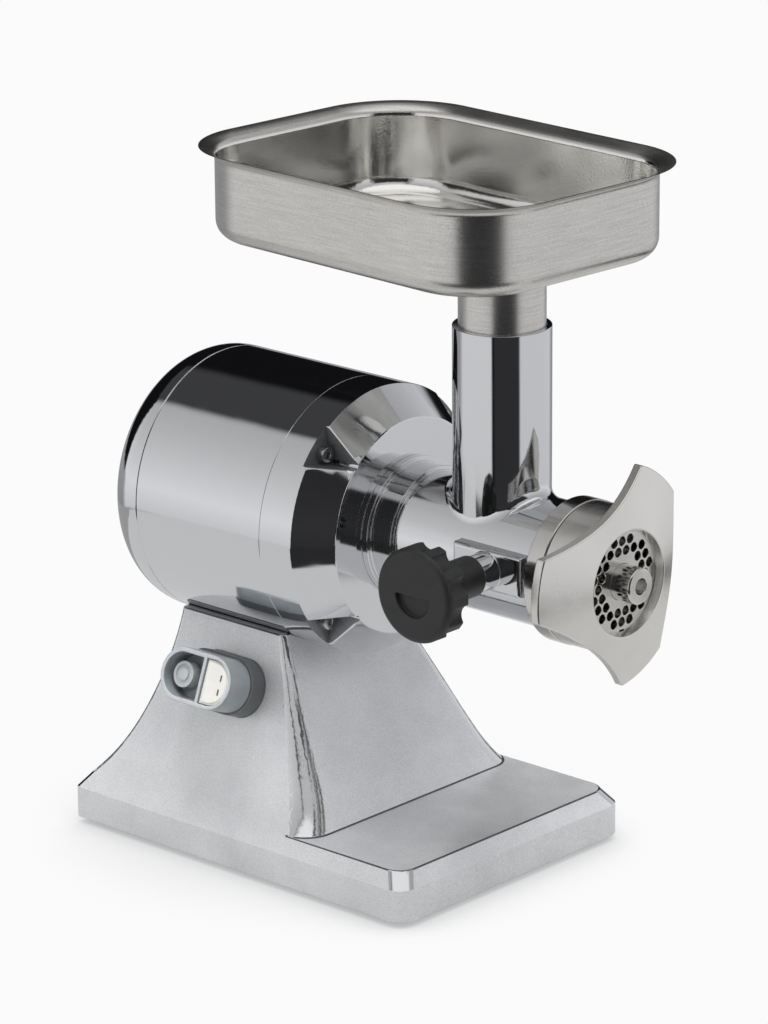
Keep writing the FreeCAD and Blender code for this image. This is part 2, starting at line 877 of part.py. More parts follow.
def first_gear():
    """Driven gear of the first stage, dished to save weight."""
    half_tooth = 180 / gear_teeth
    wheel = gear(gear_teeth, first_gear_front_y, first_gear_rear_y, 90 + half_tooth, idler_z, idler_radius)
    return dished(wheel, first_gear_front_y, first_gear_rear_y, idler_z, idler_radius)


def dished(wheel, y_from, y_to, z, bore):
    """Shallow recess in both sides of a gear, between its rim and its hub."""
    rim = gear_module * gear_teeth / 2 - 4 * gear_module
    hub = bore + 3 * gear_module
    depth = (y_to - y_from) / 4
    return wheel.cut([ring(rim, hub, y_from, y_from + depth, 0, z), ring(rim, hub, y_to - depth, y_to, 0, z)])


def idler_shaft():
    """Lower shaft: journals at both ends, a seat for the first gear and the second pinion."""
    pinion = gear(pinion_teeth, second_gear_front_y, second_gear_rear_y, 90, idler_z, idler_journal_radius)
    rear_face = motor_front_y - free_gap
    front_face = inner_boss_y + free_gap
    return fused([
        pinion,
        rod(idler_journal_radius, inner_boss_y - idler_bearing_width, motor_front_y + idler_bearing_width,
            0, idler_z),
        ring(idler_radius, idler_journal_radius, second_gear_rear_y, rear_face, 0, idler_z),
        ring(idler_radius, idler_journal_radius, front_face, second_gear_front_y, 0, idler_z),
    ])


def idler_bearings():
    pair = []
    for y_from in (inner_boss_y - idler_bearing_width, motor_front_y):
        pair.append(ring(idler_bearing_radius, idler_journal_radius + running_gap, y_from,
                         y_from + idler_bearing_width, 0, idler_z))
    return Part.makeCompound(pair)


def output_gear():
    wheel = gear(gear_teeth, second_gear_front_y, second_gear_rear_y, -90 + 180 / gear_teeth, axis_height,
                 output_radius)
    return dished(wheel, second_gear_front_y, second_gear_rear_y, axis_height, output_radius)


def output_bearing_places():
    return [inner_boss_y - output_bearing_width, seal_rear_y]


def output_shaft():
    """Shaft of the second gear, with the socket that turns the feed screw."""
    shaft = fused([
        rod(output_radius, second_gear_rear_y, snout_front_y - free_gap - 1),
        rod(drive_hub_radius, snout_front_y - free_gap, drive_front_y),
    ])
    return shaft.cut(hexagon(drive_flats / math.sqrt(3), drive_front_y, drive_front_y + drive_depth))


def output_bearings():
    pair = []
    for y_from in output_bearing_places():
        pair.append(ring(output_bearing_radius, output_radius + running_gap, y_from,
                         y_from + output_bearing_width))
    return Part.makeCompound(pair)


def oil_seal():
    return ring(output_bearing_radius, seal_lip_radius + running_gap, snout_front_y, seal_rear_y)


# Gearbox cover

def pocket(grow, y_floor):
    """Three-sided pocket round a cover screw, open outwards, with a rounded inner corner."""
    depth = motor_radius - pocket_apex_radius
    slope = math.atan2(pocket_half_width, depth)
    outer = motor_radius + cover_wall
    apex = pocket_apex_radius - grow / math.sin(slope)
    half = (outer - apex) * math.tan(slope)
    front = cover_face_y - cover_wall
    points = [Vector(apex, front, axis_height), Vector(outer, front, axis_height + half),
              Vector(outer, front, axis_height - half)]
    prism = Part.Face(Part.makePolygon(points + points[:1])).extrude(Vector(0, y_floor - front, 0))
    inner_edge = [edge for edge in prism.Edges
                  if edge.BoundBox.XMax < apex + 0.01 and edge.BoundBox.YLength > 1]
    return prism.makeFillet(pocket_round + grow, inner_edge)


def gearbox_cover():
    """Front casting: gear chamber, screw pockets and the snout that carries the head."""
    outer = lathe([(0, motor_front_y), (motor_radius, motor_front_y), (motor_radius, cover_edge_y),
                   (cover_face_radius, cover_face_y), (0, cover_face_y)])
    rims = [edge for edge in outer.Edges if edge.BoundBox.YLength < 0.01
            and edge.BoundBox.YMin < cover_edge_y + 0.01 and edge.BoundBox.XLength > 2 * head_flange_radius]
    outer = outer.makeFillet(cover_edge_round, rims)
    chamber = lathe([(0, motor_front_y), (motor_radius - cover_wall, motor_front_y),
                     (motor_radius - cover_wall, cover_edge_y + cover_wall / 2),
                     (cover_face_radius - cover_wall / 2, cover_inner_y), (0, cover_inner_y)])
    keep = [about_axis(pocket(pocket_wall, pocket_floor_y + pocket_wall), degrees) for degrees in DIAGONALS]
    for degrees in DIAGONALS:
        x, z = at_diagonal(cover_screw_circle, degrees)
        keep.append(rod(screw_head_radius + screw_column_wall, cover_face_y, motor_front_y, x, z))
    keep.append(rod(output_bearing_radius + snout_wall, cover_face_y, inner_boss_y))
    keep.append(rod(idler_bearing_radius + idler_boss_wall, cover_face_y, inner_boss_y, 0, idler_z))
    solid = outer.cut(chamber.cut(keep))
    solid = solid.fuse(rod(snout_radius, snout_front_y, cover_inner_y)).removeSplitter()
    holes = [about_axis(pocket(0.0, pocket_floor_y), degrees) for degrees in DIAGONALS]
    holes.append(rod(output_bearing_radius, snout_front_y, inner_boss_y))
    holes.append(rod(idler_bearing_radius, inner_boss_y - idler_bearing_width, inner_boss_y, 0, idler_z))
    holes.append(ring(head_flange_radius, snout_radius, cover_face_y, cover_face_y + head_seat_depth))
    for degrees in DIAGONALS:
        x, z = at_diagonal(cover_screw_circle, degrees)
        holes.append(rod(screw_radius, pocket_floor_y - 1, motor_front_y, x, z))
        x, z = at_diagonal(head_screw_circle, degrees)
        holes.append(rod(head_screw_radius, cover_face_y, inner_boss_y, x, z))
    return solid.cut(holes)


def cover_screws():
    screws = []
    for degrees in DIAGONALS:
        x, z = at_diagonal(cover_screw_circle, degrees)
        screws.append(cap_screw(screw_radius, screw_head_radius, screw_head_height, pocket_floor_y,
                                shield_rear_y + screw_grip, x, z, screw_socket_radius))
    return Part.makeCompound(screws)


def head_screws():
    screws = []
    for degrees in DIAGONALS:
        x, z = at_diagonal(head_screw_circle, degrees)
        screws.append(cap_screw(head_screw_radius, head_screw_head_radius, head_screw_head_height,
                                cover_inner_y, cover_face_y - head_screw_grip, x, z,
                                head_screw_radius * 0.8))
    return Part.makeCompound(screws)


# Head casting

def head_housing():
    """Barrel with the upright feed neck, the flange on the snout and the clamp boss."""
    seat_y = cover_face_y + head_seat_depth
    barrel = rod(barrel_radius, barrel_front_y, seat_y)
    neck = post(neck_radius, 0, neck_y, axis_height, neck_top_z)
    body = barrel.fuse(neck).removeSplitter()
    joint = [edge for edge in body.Edges if axis_height < edge.BoundBox.ZMin < axis_height + barrel_radius
             and edge.BoundBox.ZMax < axis_height + barrel_radius + 1 and edge.BoundBox.XLength > neck_radius
             and edge.BoundBox.YMin > barrel_front_y + 1 and edge.BoundBox.YMax < seat_y - 1]
    body = body.makeFillet(neck_blend, joint)
    flange = rod(head_flange_radius, cover_face_y - head_flange_length, seat_y)
    boss = block(boss_face_x, 0, clamp_y - boss_length / 2, clamp_y + boss_length / 2,
                 clamp_z - boss_height / 2, clamp_z + boss_height / 2)
    corners = [edge for edge in boss.Edges if edge.BoundBox.XMax < boss_face_x + 0.01]
    boss = boss.makeFillet(boss_edge_round, corners)
    boss_end = cross_rod(boss_round_radius, boss_end_x, boss_face_x + 5, clamp_y, clamp_z)
    collar = rod(head_flange_radius + head_collar_rise, cover_face_y - head_collar_length, cover_face_y)
    body = body.fuse([flange, collar, boss, boss_end])
    body = body.removeSplitter()
    holes = [
        rod(head_bore_radius, barrel_front_y, snout_front_y - free_gap),
        rod(snout_radius, snout_front_y - free_gap, seat_y),
        post(throat_radius, 0, neck_y, axis_height, neck_top_z),
        post(neck_bore_radius, 0, neck_y, spout_bottom_z, neck_top_z),
        cross_rod(stem_radius + running_gap, boss_end_x, -sleeve_radius + 1, clamp_y, clamp_z),
    ]
    for degrees in DIAGONALS:
        x, z = at_diagonal(head_screw_circle, degrees)
        holes.append(rod(head_screw_radius, cover_face_y - head_screw_grip, seat_y, x, z))
    return body.cut(holes)


# Clamp

def clamp_pad():
    """Tip that stays still while the screw turns behind it."""
    return cross_rod(stem_radius, pad_rear_x, pad_tip_x, clamp_y, clamp_z)


def clamp_stem():
    return cross_rod(stem_radius, knob_face_x + knob_wall + knob_cap_depth, pad_rear_x, clamp_y, clamp_z)


def clamp_knob():
    """Lobed hand knob on its hub, with a capped recess in its face."""
    hub = cross_rod(knob_hub_radius, knob_rim_x, knob_hub_x, clamp_y, clamp_z)
    rim = cross_rod(knob_radius, knob_face_x, knob_rim_x, clamp_y, clamp_z)
    face_edge = [edge for edge in rim.Edges if edge.BoundBox.XMax < knob_face_x + 0.01]
    rim = rim.makeFillet(knob_edge_round, face_edge)
    scallops = []
    circle = knob_radius + knob_scallop_radius - knob_scallop_depth
    for number in range(knob_lobes):
        angle = math.radians(360 / knob_lobes * (number + 0.5))
        scallops.append(cross_rod(knob_scallop_radius, knob_face_x + knob_rim_length * 0.22, knob_rim_x,
                                  clamp_y + circle * math.cos(angle), clamp_z + circle * math.sin(angle)))
    rim = rim.cut(scallops)
    body = rim.fuse(hub).removeSplitter()
    recess = cross_rod(knob_cap_radius, knob_face_x, knob_face_x + knob_cap_depth, clamp_y, clamp_z)
    half = block(knob_face_x, knob_face_x + knob_cap_depth, clamp_y - knob_cap_radius,
                 clamp_y + knob_cap_radius, clamp_z - knob_cap_radius, clamp_z)
    bore = cross_rod(stem_radius, knob_face_x + knob_wall + knob_cap_depth, knob_hub_x, clamp_y, clamp_z)
    return body.cut([recess.common(half), bore])


# Mincing unit

def mincing_sleeve():
    """Removable lining of the barrel with its front band, thread and cup for knife and plate."""
    outer = lathe([
        (0, sleeve_rear_y), (sleeve_radius, sleeve_rear_y), (sleeve_radius, barrel_front_y),
        (band_radius, barrel_front_y), (band_radius, band_front_y), (thread_radius, band_front_y),
        (thread_radius, sleeve_front_y), (0, sleeve_front_y),
    ])
    inner = lathe([
        (0, sleeve_rear_y), (sleeve_lip_radius, sleeve_rear_y),
        (sleeve_lip_radius, sleeve_rear_y - sleeve_lip_length),
        (sleeve_bore_radius, sleeve_rear_y - sleeve_lip_length), (sleeve_bore_radius, cup_floor_y),
        (cup_radius, cup_floor_y), (cup_radius, sleeve_front_y), (0, sleeve_front_y),
    ])
    feed = post(throat_radius, 0, neck_y, axis_height, neck_top_z)
    return outer.cut([inner, feed, plate_pin_hole()])


def plate_pin_hole():
    """Upright hole at the cup's rim that holds the plate's pin."""
    y = sleeve_front_y + plate_pin_radius + plate_pin_cover
    low = axis_height - thread_radius + plate_pin_cover
    return post(plate_pin_radius, 0, y, low, axis_height - cup_radius + plate_pin_depth)


def plate_pin():
    return plate_pin_hole()


def hole_plate():
    """Perforated plate: holes on a triangular grid between its hub and its rim."""
    disc = rod(plate_radius, plate_front_y, plate_rear_y)
    inner = spigot_radius + running_gap + plate_hub_wall + plate_hole_radius
    outer = plate_radius - plate_rim - plate_hole_radius
    row_step = plate_hole_pitch * math.sqrt(3) / 2
    rows = int(plate_radius / row_step) + 1
    holes = [rod(spigot_radius + running_gap, plate_front_y, plate_rear_y)]
    for row in range(-rows, rows + 1):
        for column in range(-rows, rows + 1):
            x = plate_hole_pitch * (column + 0.5 * (row % 2))
            z = row_step * row
            if inner <= math.hypot(x, z) <= outer:
                holes.append(rod(plate_hole_radius, plate_front_y, plate_rear_y, x, axis_height + z))
    notch_half = plate_pin_radius + sliding_gap
    notch_top = axis_height - cup_radius + plate_pin_depth + sliding_gap
    holes.append(block(-notch_half, notch_half, plate_front_y, plate_rear_y,
                       axis_height - plate_radius - 1, notch_top))
    return disc.cut(holes)


def knife():
    """Four-armed knife on the screw's square end, its arms raked to a cutting edge."""
    hub = rod(knife_hub_radius, plate_rear_y, knife_rear_y)
    half = knife_arm_width / 2
    profile = [Vector(0, plate_rear_y, axis_height - half), Vector(0, plate_rear_y, axis_height + half),
               Vector(0, knife_rear_y, axis_height + half - knife_rake),
               Vector(0, knife_rear_y, axis_height - half)]
    arm = Part.Face(Part.makePolygon(profile + profile[:1])).extrude(Vector(knife_radius + 1, 0, 0))
    arms = [about_axis(arm, 90 * number) for number in range(4)]
    body = hub.fuse(arms).removeSplitter().common(rod(knife_radius, plate_rear_y, knife_rear_y))
    return body.cut(square_bar(knife_square + 2 * running_gap, plate_rear_y, knife_rear_y))


def square_bar(width, y_from, y_to):
    return block(-width / 2, width / 2, min(y_from, y_to), max(y_from, y_to),
                 axis_height - width / 2, axis_height + width / 2)


def auger():
    """Feed screw: drive tail, rear collar, tapered core with its helical flight, and front spigot."""
    core = lathe([(0, collar_front_y), (screw_core_rear_radius, collar_front_y),
                  (screw_core_front_radius, knife_rear_y), (0, knife_rear_y)])
    flight_radius = sleeve_bore_radius - screw_gap
    root_radius = screw_core_rear_radius - flight_thickness / 2
    length = screw_pitch * screw_turns
    helix = Part.Wire(Part.makeHelix(screw_pitch, length, root_radius))
    half = flight_thickness / 2
    profile = Part.makePolygon([Vector(root_radius, 0, -half), Vector(flight_radius + 2, 0, -half * 0.6),
                                Vector(flight_radius + 2, 0, half * 0.6), Vector(root_radius, 0, half),
                                Vector(root_radius, 0, -half)])
    flight = helix.makePipeShell([profile], True, True)
    flight.rotate(Vector(0, 0, 0), Vector(1, 0, 0), 90)
    flight.translate(Vector(0, collar_front_y, axis_height))
    flight = flight.common(rod(flight_radius, collar_front_y + half, knife_rear_y + free_gap))
    tail = hexagon(drive_flats / math.sqrt(3) - 2 * running_gap, collar_rear_y - 1,
                   drive_front_y + drive_depth - free_gap)
    solid = fused([
        core,
        flight,
        rod(sleeve_bore_radius - screw_gap, collar_rear_y, collar_front_y),
        tail,
        square_bar(knife_square, knife_rear_y + 1, plate_rear_y),
        rod(spigot_radius, plate_rear_y, spigot_front_y),
    ])
    rim = [edge for edge in solid.Edges if abs(edge.BoundBox.YMax - spigot_front_y) < 0.01]
    solid = solid.makeChamfer(spigot_chamfer, rim[:1])
    return solid.cut(rod(spigot_hole_radius, spigot_front_y, spigot_front_y + spigot_hole_depth))


# Ring nut

def wing_outline(y):
    """Three-cornered outline with blunt tips and drawn-in sides."""
    half = math.asin(wing_width / 2 / wing_radius)
    step = 2 * math.pi / wing_count
    edges = []

    def spot(radius, angle):
        return Vector(radius * math.cos(angle), y, axis_height + radius * math.sin(angle))

    for number in range(wing_count):
        middle = math.radians(wing_first_angle) + step * number
        start = spot(wing_radius, middle - half)
        end = spot(wing_radius, middle + half)
        following = spot(wing_radius, middle + step - half)
        edges.append(arc(start, spot(wing_radius, middle), end))
        edges.append(arc(end, spot(wing_waist_radius, middle + step / 2), following))
    return Part.Wire(edges)


def ring_nut():
    """Ring with an inside thread, a lip that holds the plate and three dished wings."""
    slope = wing_setback / (wing_radius - nut_mouth_radius)
    reach = wing_radius + 2

    def front(radius):
        return nut_face_y + slope * (radius - nut_mouth_radius)

    dish = lathe([
        (nut_lip_radius, plate_front_y), (nut_mouth_radius, nut_face_y), (reach, front(reach)),
        (reach, front(reach) + wing_thickness), (nut_radius - 1, front(nut_radius) + wing_thickness),
        (nut_radius - 1, plate_front_y),
    ])
    outline = Part.Face(wing_outline(nut_face_y - 1)).extrude(Vector(0, thread_length + nut_face_reach, 0))
    wings = dish.common(outline)
    tips = [edge for edge in wings.Edges if edge.BoundBox.YLength > 1 and edge.Length < 2 * wing_thickness]
    wings = wings.makeFillet(wing_thickness / 3, tips)
    tube = ring(nut_radius, thread_radius + sliding_gap, band_front_y - free_gap, plate_front_y)
    return wings.fuse(tube).removeSplitter()


# Tray

def placed_on_neck(shape):
    """Tray pieces are drawn about the spout's axis, then turned and set on the neck."""
    shape.rotate(Vector(0, 0, 0), Vector(0, 0, 1), tray_turn)
    shape.translate(Vector(0, neck_y, 0))
    return shape


def tray_outline(inset, z):
    """Level outline of the tray, drawn in by an inset."""
    half_width = tray_width / 2 - inset
    half_length = tray_length / 2 - inset
    corner = tray_corner - inset
    return rounded_outline(tray_side - half_width, tray_side + half_width, tray_reach - half_length,
                           tray_reach + half_length, z, corner, corner)


def tray_box(inset, z_from, z_to):
    return raised(tray_outline(inset, z_from), z_to - z_from)


def tray_flare(inset, z_from, z_to):
    """Solid inside the rim, which rises and spreads from the wall."""
    return Part.makeLoft([tray_outline(inset, z_from), tray_outline(inset - tray_rim, z_to)], True, True)


def rounded_below(solid, radius):
    bottom = solid.BoundBox.ZMin
    edges = [edge for edge in solid.Edges if edge.BoundBox.ZMax < bottom + 0.01]
    return solid.makeFillet(radius, edges)


def tray():
    """Deep sheet tray with a flared rim and a dished floor round the spout."""
    top = tray_bottom_z + tray_depth
    wall_top = top - tray_rim_rise
    outer = rounded_below(tray_box(0, tray_bottom_z, wall_top), tray_bottom_round)
    inner = rounded_below(tray_box(tray_sheet, tray_bottom_z + tray_sheet, wall_top),
                          tray_bottom_round - tray_sheet)
    solid = fused([outer, tray_flare(0, wall_top, top)])
    solid = solid.cut([inner, tray_flare(tray_sheet, wall_top, top)])
    dish_low = tray_bottom_z - tray_dish_depth
    dish = Part.makeCone(spout_radius, tray_dish_radius, tray_dish_depth, Vector(0, 0, dish_low))
    hollow = Part.makeCone(spout_radius, tray_dish_radius, tray_dish_depth,
                           Vector(0, 0, dish_low + tray_sheet))
    solid = solid.fuse(dish).cut([hollow, post(spout_radius, 0, 0, dish_low - 1, top)])
    return placed_on_neck(solid)


def tray_spout():
    """Tube under the tray that drops into the neck."""
    top = tray_bottom_z - tray_dish_depth + tray_sheet
    tube = post(spout_radius, 0, 0, spout_bottom_z, top)
    return placed_on_neck(tube.cut(post(throat_radius, 0, 0, spout_bottom_z, top)))


# Switch, drawn with its back upright and then tilted onto the slope

def side_tilt():
    """Lean of the pedestal's side at the switch, in degrees."""
    rise = switch_height
    run = pedestal_side(switch_z - rise / 2) - pedestal_side(switch_z + rise / 2)
    return math.degrees(math.atan2(run, rise))


def switch_seat_x():
    """Flat seat cut a little into the pedestal's side."""
    return -pedestal_side(switch_z) + switch_recess


def bezel_face_x():
    return switch_seat_x() - bezel_thickness


def hood_face_x():
    return bezel_face_x() - hood_reach


def hood_floor_x():
    return bezel_face_x() - hood_floor


def tilted(shape):
    """Copy leaned back so that what was square to X is square to the pedestal's side."""
    copy = shape.copy()
    copy.rotate(Vector(switch_seat_x(), switch_y, switch_z), Vector(0, 1, 0), side_tilt())
    return copy


def start_button_y():
    """Middle of the straight edge's half, where the start button's stem runs."""
    return switch_y - (switch_length - switch_height) / 2


def stop_button_y():
    return switch_y + stop_button_offset


def start_outline(grow, x_from, x_to):
    """Half-round shape of the start button, on the front half of the hood."""
    inset = hood_inset + hood_wall - grow
    whole = stadium(switch_length / 2 - inset, switch_height / 2 - inset, x_from, x_to)
    limit = switch_y + divider_offset - divider_width / 2 + grow
    keep = block(min(x_from, x_to), max(x_from, x_to), switch_y - switch_length, limit,
                 switch_z - switch_height, switch_z + switch_height)
    return whole.common(keep)


def stop_well(x_from, x_to):
    """Open rear half of the hood, where the stop button lies deep."""
    inset = hood_inset + hood_wall
    whole = stadium(switch_length / 2 - inset, switch_height / 2 - inset, x_from, x_to)
    limit = switch_y + divider_offset + divider_width / 2
    keep = block(min(x_from, x_to), max(x_from, x_to), limit, switch_y + switch_length,
                 switch_z - switch_height, switch_z + switch_height)
    return whole.common(keep)


def stem_holes(x_from, x_to):
    holes = []
    for y in (start_button_y(), stop_button_y()):
        holes.append(cross_rod(button_stem_radius + running_gap, x_from, x_to, y, switch_z))
    return holes


def contact_room(x_from, x_to):
    """Space the contact block takes, with a little room round it."""
    return stadium(contact_block_length / 2 + sliding_gap, contact_block_height / 2 + sliding_gap,
                   x_from, x_to)


def switch_bezel():
    """Base of the switch, against the pedestal, with the contact block behind it."""
    body = stadium(switch_length / 2, switch_height / 2, switch_seat_x(), bezel_face_x())
    room = contact_room(switch_seat_x(), bezel_face_x() + hood_wall)
    return tilted(body.cut([room] + stem_holes(switch_seat_x(), bezel_face_x())))


def switch_hood():
    """Raised surround with a half-round well for one button and an open well for the other."""
    body = stadium(switch_length / 2 - hood_inset, switch_height / 2 - hood_inset, bezel_face_x(),
                   hood_face_x())
    wells = [start_outline(button_gap, hood_floor_x(), hood_face_x()),
             stop_well(hood_floor_x(), hood_face_x())]
    return tilted(body.cut(wells + stem_holes(bezel_face_x(), hood_face_x())))


def contact_face_x():
    return bezel_face_x() + hood_wall + button_travel + free_gap


def start_button():
    """Half-round push button with a stem through to the contacts."""
    front = hood_face_x() + button_recess
    cap = start_outline(0.0, hood_floor_x() - button_travel - free_gap, front)
    stem = cross_rod(button_stem_radius, contact_face_x() - button_travel, front + 1, start_button_y(),
                     switch_z)
    return tilted(cap.fuse(stem).removeSplitter())


def stop_button():
    """Round push button with a raised ring in its face, on a stem like the other."""
    front = hood_face_x() + stop_button_recess
    cap = cross_rod(stop_button_radius, hood_floor_x() - button_travel - free_gap, front, stop_button_y(),
                    switch_z)
    groove = cross_rod(stop_button_radius * 0.75, front, front + 1, stop_button_y(), switch_z).cut(
        cross_rod(stop_button_radius * 0.45, front, front + 1, stop_button_y(), switch_z))
    stem = cross_rod(button_stem_radius, contact_face_x() - button_travel, front + 2, stop_button_y(),
                     switch_z)
    return tilted(cap.cut(groove).fuse(stem).removeSplitter())


def contact_block():
    """Contacts that the stems push on, held in the back of the bezel."""
    return tilted(stadium(contact_block_length / 2, contact_block_height / 2, contact_face_x(),
                          contact_face_x() + contact_block_depth))


# Parts on the bottom plate

def start_capacitor():
    z = foot_height + bottom_plate_thickness + capacitor_radius + clamp_strap
    return rod(capacitor_radius, capacitor_y, capacitor_y + capacitor_length, capacitor_x, z)


def capacitor_clamp():
    """Strap over the capacitor with a foot on each side."""
    floor = foot_height + bottom_plate_thickness
    z = floor + capacitor_radius + clamp_strap
    y_from = capacitor_y + (capacitor_length - clamp_strap_width) / 2
    y_to = y_from + clamp_strap_width
    outer = capacitor_radius + clamp_strap
    band = rod(outer, y_from, y_to, capacitor_x, z)
    feet = block(capacitor_x - outer - clamp_foot, capacitor_x + outer + clamp_foot, y_from, y_to, floor,
                 floor + clamp_strap)
    return fused([band, feet]).cut(rod(capacitor_radius, y_from, y_to, capacitor_x, z))


def terminal_block():
    floor = foot_height + bottom_plate_thickness
    body = block(terminal_x - terminal_width / 2, terminal_x + terminal_width / 2, capacitor_y,
                 capacitor_y + terminal_length, floor, floor + terminal_height)
    holes = []
    for way in range(terminal_ways):
        y = capacitor_y + terminal_length * (way + 0.5) / terminal_ways
        holes.append(post(terminal_hole_radius, terminal_x, y, floor + terminal_height / 2,
                          floor + terminal_height))
    return body.cut(holes)


PIECES = [
    pedestal_base, bottom_plate, bottom_plate_screws, rubber_feet, foot_screws, cable_gland, gland_nut,
    motor_barrel, motor_bolts, rear_cap, rear_cap_screws, bearing_shield, front_bearing, rear_bearing,
    stator_core, stator_windings, rotor_core, rotor_shaft, cooling_fan, motor_pinion, first_gear, idler_shaft,
    idler_bearings, output_gear, output_shaft, output_bearings, oil_seal, gearbox_cover, cover_screws,
    head_housing, head_screws, clamp_pad, clamp_stem, clamp_knob, mincing_sleeve, plate_pin, hole_plate,
    knife, auger, ring_nut, tray, tray_spout, switch_bezel, switch_hood, start_button, stop_button,
    contact_block, start_capacitor, capacitor_clamp, terminal_block,
]

os.makedirs("parts", exist_ok=True)
for piece in PIECES:
    shape = piece()
    shape.exportStep("parts/" + piece.__name__ + ".step")
    print(piece.__name__, len(shape.Solids), "solids", round(shape.Volume), "mm3", "valid", shape.isValid())
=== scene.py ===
import json
import math

import bmesh
import bpy
from mathutils import Matrix, Vector


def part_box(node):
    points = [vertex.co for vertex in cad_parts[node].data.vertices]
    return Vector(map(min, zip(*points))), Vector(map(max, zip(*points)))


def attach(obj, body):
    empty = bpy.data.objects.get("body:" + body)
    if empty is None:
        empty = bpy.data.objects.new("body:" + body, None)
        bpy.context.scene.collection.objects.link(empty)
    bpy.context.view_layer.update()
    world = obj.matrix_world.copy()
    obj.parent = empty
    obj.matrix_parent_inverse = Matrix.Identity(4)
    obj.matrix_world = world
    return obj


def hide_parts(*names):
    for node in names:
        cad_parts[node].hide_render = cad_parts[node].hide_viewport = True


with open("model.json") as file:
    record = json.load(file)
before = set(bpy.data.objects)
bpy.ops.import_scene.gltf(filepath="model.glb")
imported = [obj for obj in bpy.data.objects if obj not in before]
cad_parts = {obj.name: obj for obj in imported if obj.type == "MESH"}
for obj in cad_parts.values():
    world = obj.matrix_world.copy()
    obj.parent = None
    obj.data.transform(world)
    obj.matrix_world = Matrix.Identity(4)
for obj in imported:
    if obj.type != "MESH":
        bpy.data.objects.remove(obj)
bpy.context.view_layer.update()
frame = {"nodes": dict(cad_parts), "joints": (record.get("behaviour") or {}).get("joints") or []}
scene = bpy.context.scene


# Camera of the photograph: a long lens from the outlet's left side, a little above the machine.
# Its angle and place were fitted to the photograph, and it stands about three metres away.
camera_turn = math.radians(-47.69)
camera_pitch = math.radians(17.55)
camera_roll = math.radians(-0.44)
camera_spot = Vector((-2.1317, -1.9230, 1.1367))
camera_data = bpy.data.cameras.new("photo_camera")
camera_data.lens = 166.7
camera_data.sensor_width = 36.0
camera_data.clip_end = 50.0
camera = bpy.data.objects.new("photo_camera", camera_data)
camera.matrix_world = (
    Matrix.Translation(camera_spot)
    @ Matrix.Rotation(camera_turn, 4, "Z")
    @ Matrix.Rotation(math.pi / 2 - camera_pitch, 4, "X")
    @ Matrix.Rotation(camera_roll, 4, "Z")
)
scene.collection.objects.link(camera)
scene.camera = camera


# Base casting: one aluminium sand casting with a flared pedestal and a low apron for the dish.
# Its broad faces are belt-sanded to a satin, and its front corners are buffed bright.
def linear(colour):
    """sRGB hex text to linear red, green, blue and alpha."""
    parts = [int(colour[at:at + 2], 16) / 255 for at in (1, 3, 5)]
    return [part / 12.92 if part <= 0.04045 else ((part + 0.055) / 1.055) ** 2.4 for part in parts] + [1.0]


def scale_for(millimetres):
    """Scale of a pattern whose features are this far apart, in object coordinates."""
    return 1000.0 / millimetres


def add(tree, kind, inputs=None, **settings):
    """One node with its settings; an input is a value or another node's socket."""
    made = tree.nodes.new(kind)
    for setting, value in settings.items():
        setattr(made, setting, value)
    for socket, value in (inputs or {}).items():
        if isinstance(value, bpy.types.NodeSocket):
            tree.links.new(value, made.inputs[socket])
        else:
            made.inputs[socket].default_value = value
    return made


def new_material(name):
    """Empty node material and its tree."""
    material = bpy.data.materials.new(name)
    material.use_nodes = True
    material.node_tree.nodes.clear()
    return material, material.node_tree


def finish_material(tree, shader):
    """Link a shader to the material's output."""
    add(tree, "ShaderNodeOutputMaterial", {"Surface": shader.outputs[0]})


same_point = 2e-6
same_plane = math.radians(0.2)


def smooth_copy(node, name, sharp=30.0, edge=0.0):
    """A CAD node's mesh with its points merged, smooth between its edges and with fine rounded edges."""
    work = bmesh.new()
    work.from_mesh(frame["nodes"][node].data)
    bmesh.ops.remove_doubles(work, verts=work.verts, dist=same_point)
    bmesh.ops.dissolve_limit(work, angle_limit=same_plane, verts=work.verts, edges=work.edges)
    for face in work.faces:
        face.smooth = True
        face.material_index = 0
    mesh = bpy.data.meshes.new(name)
    work.to_mesh(mesh)
    work.free()
    loaded_normals = mesh.attributes.get("custom_normal")
    if loaded_normals:
        mesh.attributes.remove(loaded_normals)
    mesh.set_sharp_from_angle(angle=math.radians(sharp))
    piece = bpy.data.objects.new(name, mesh)
    scene.collection.objects.link(piece)
    if edge:
        rounding = piece.modifiers.new("rounded_edges", "BEVEL")
        rounding.width = edge
        rounding.segments = 2
        rounding.limit_method = "ANGLE"
        rounding.angle_limit = math.radians(sharp)
        rounding.use_clamp_overlap = False
    weighting = piece.modifiers.new("flat_faces_stay_flat", "WEIGHTED_NORMAL")
    weighting.mode = "FACE_AREA_WITH_ANGLE"
    weighting.keep_sharp = True
    return piece


def dress(node, name, materials, body, sharp=30.0, edge=0.0):
    """Show a smooth copy of a CAD node in its place, with its finish, riding on its body."""
    piece = smooth_copy(node, name, sharp, edge)
    for material in materials:
        piece.data.materials.append(material)
    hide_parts(node)
    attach(piece, body)
    return piece


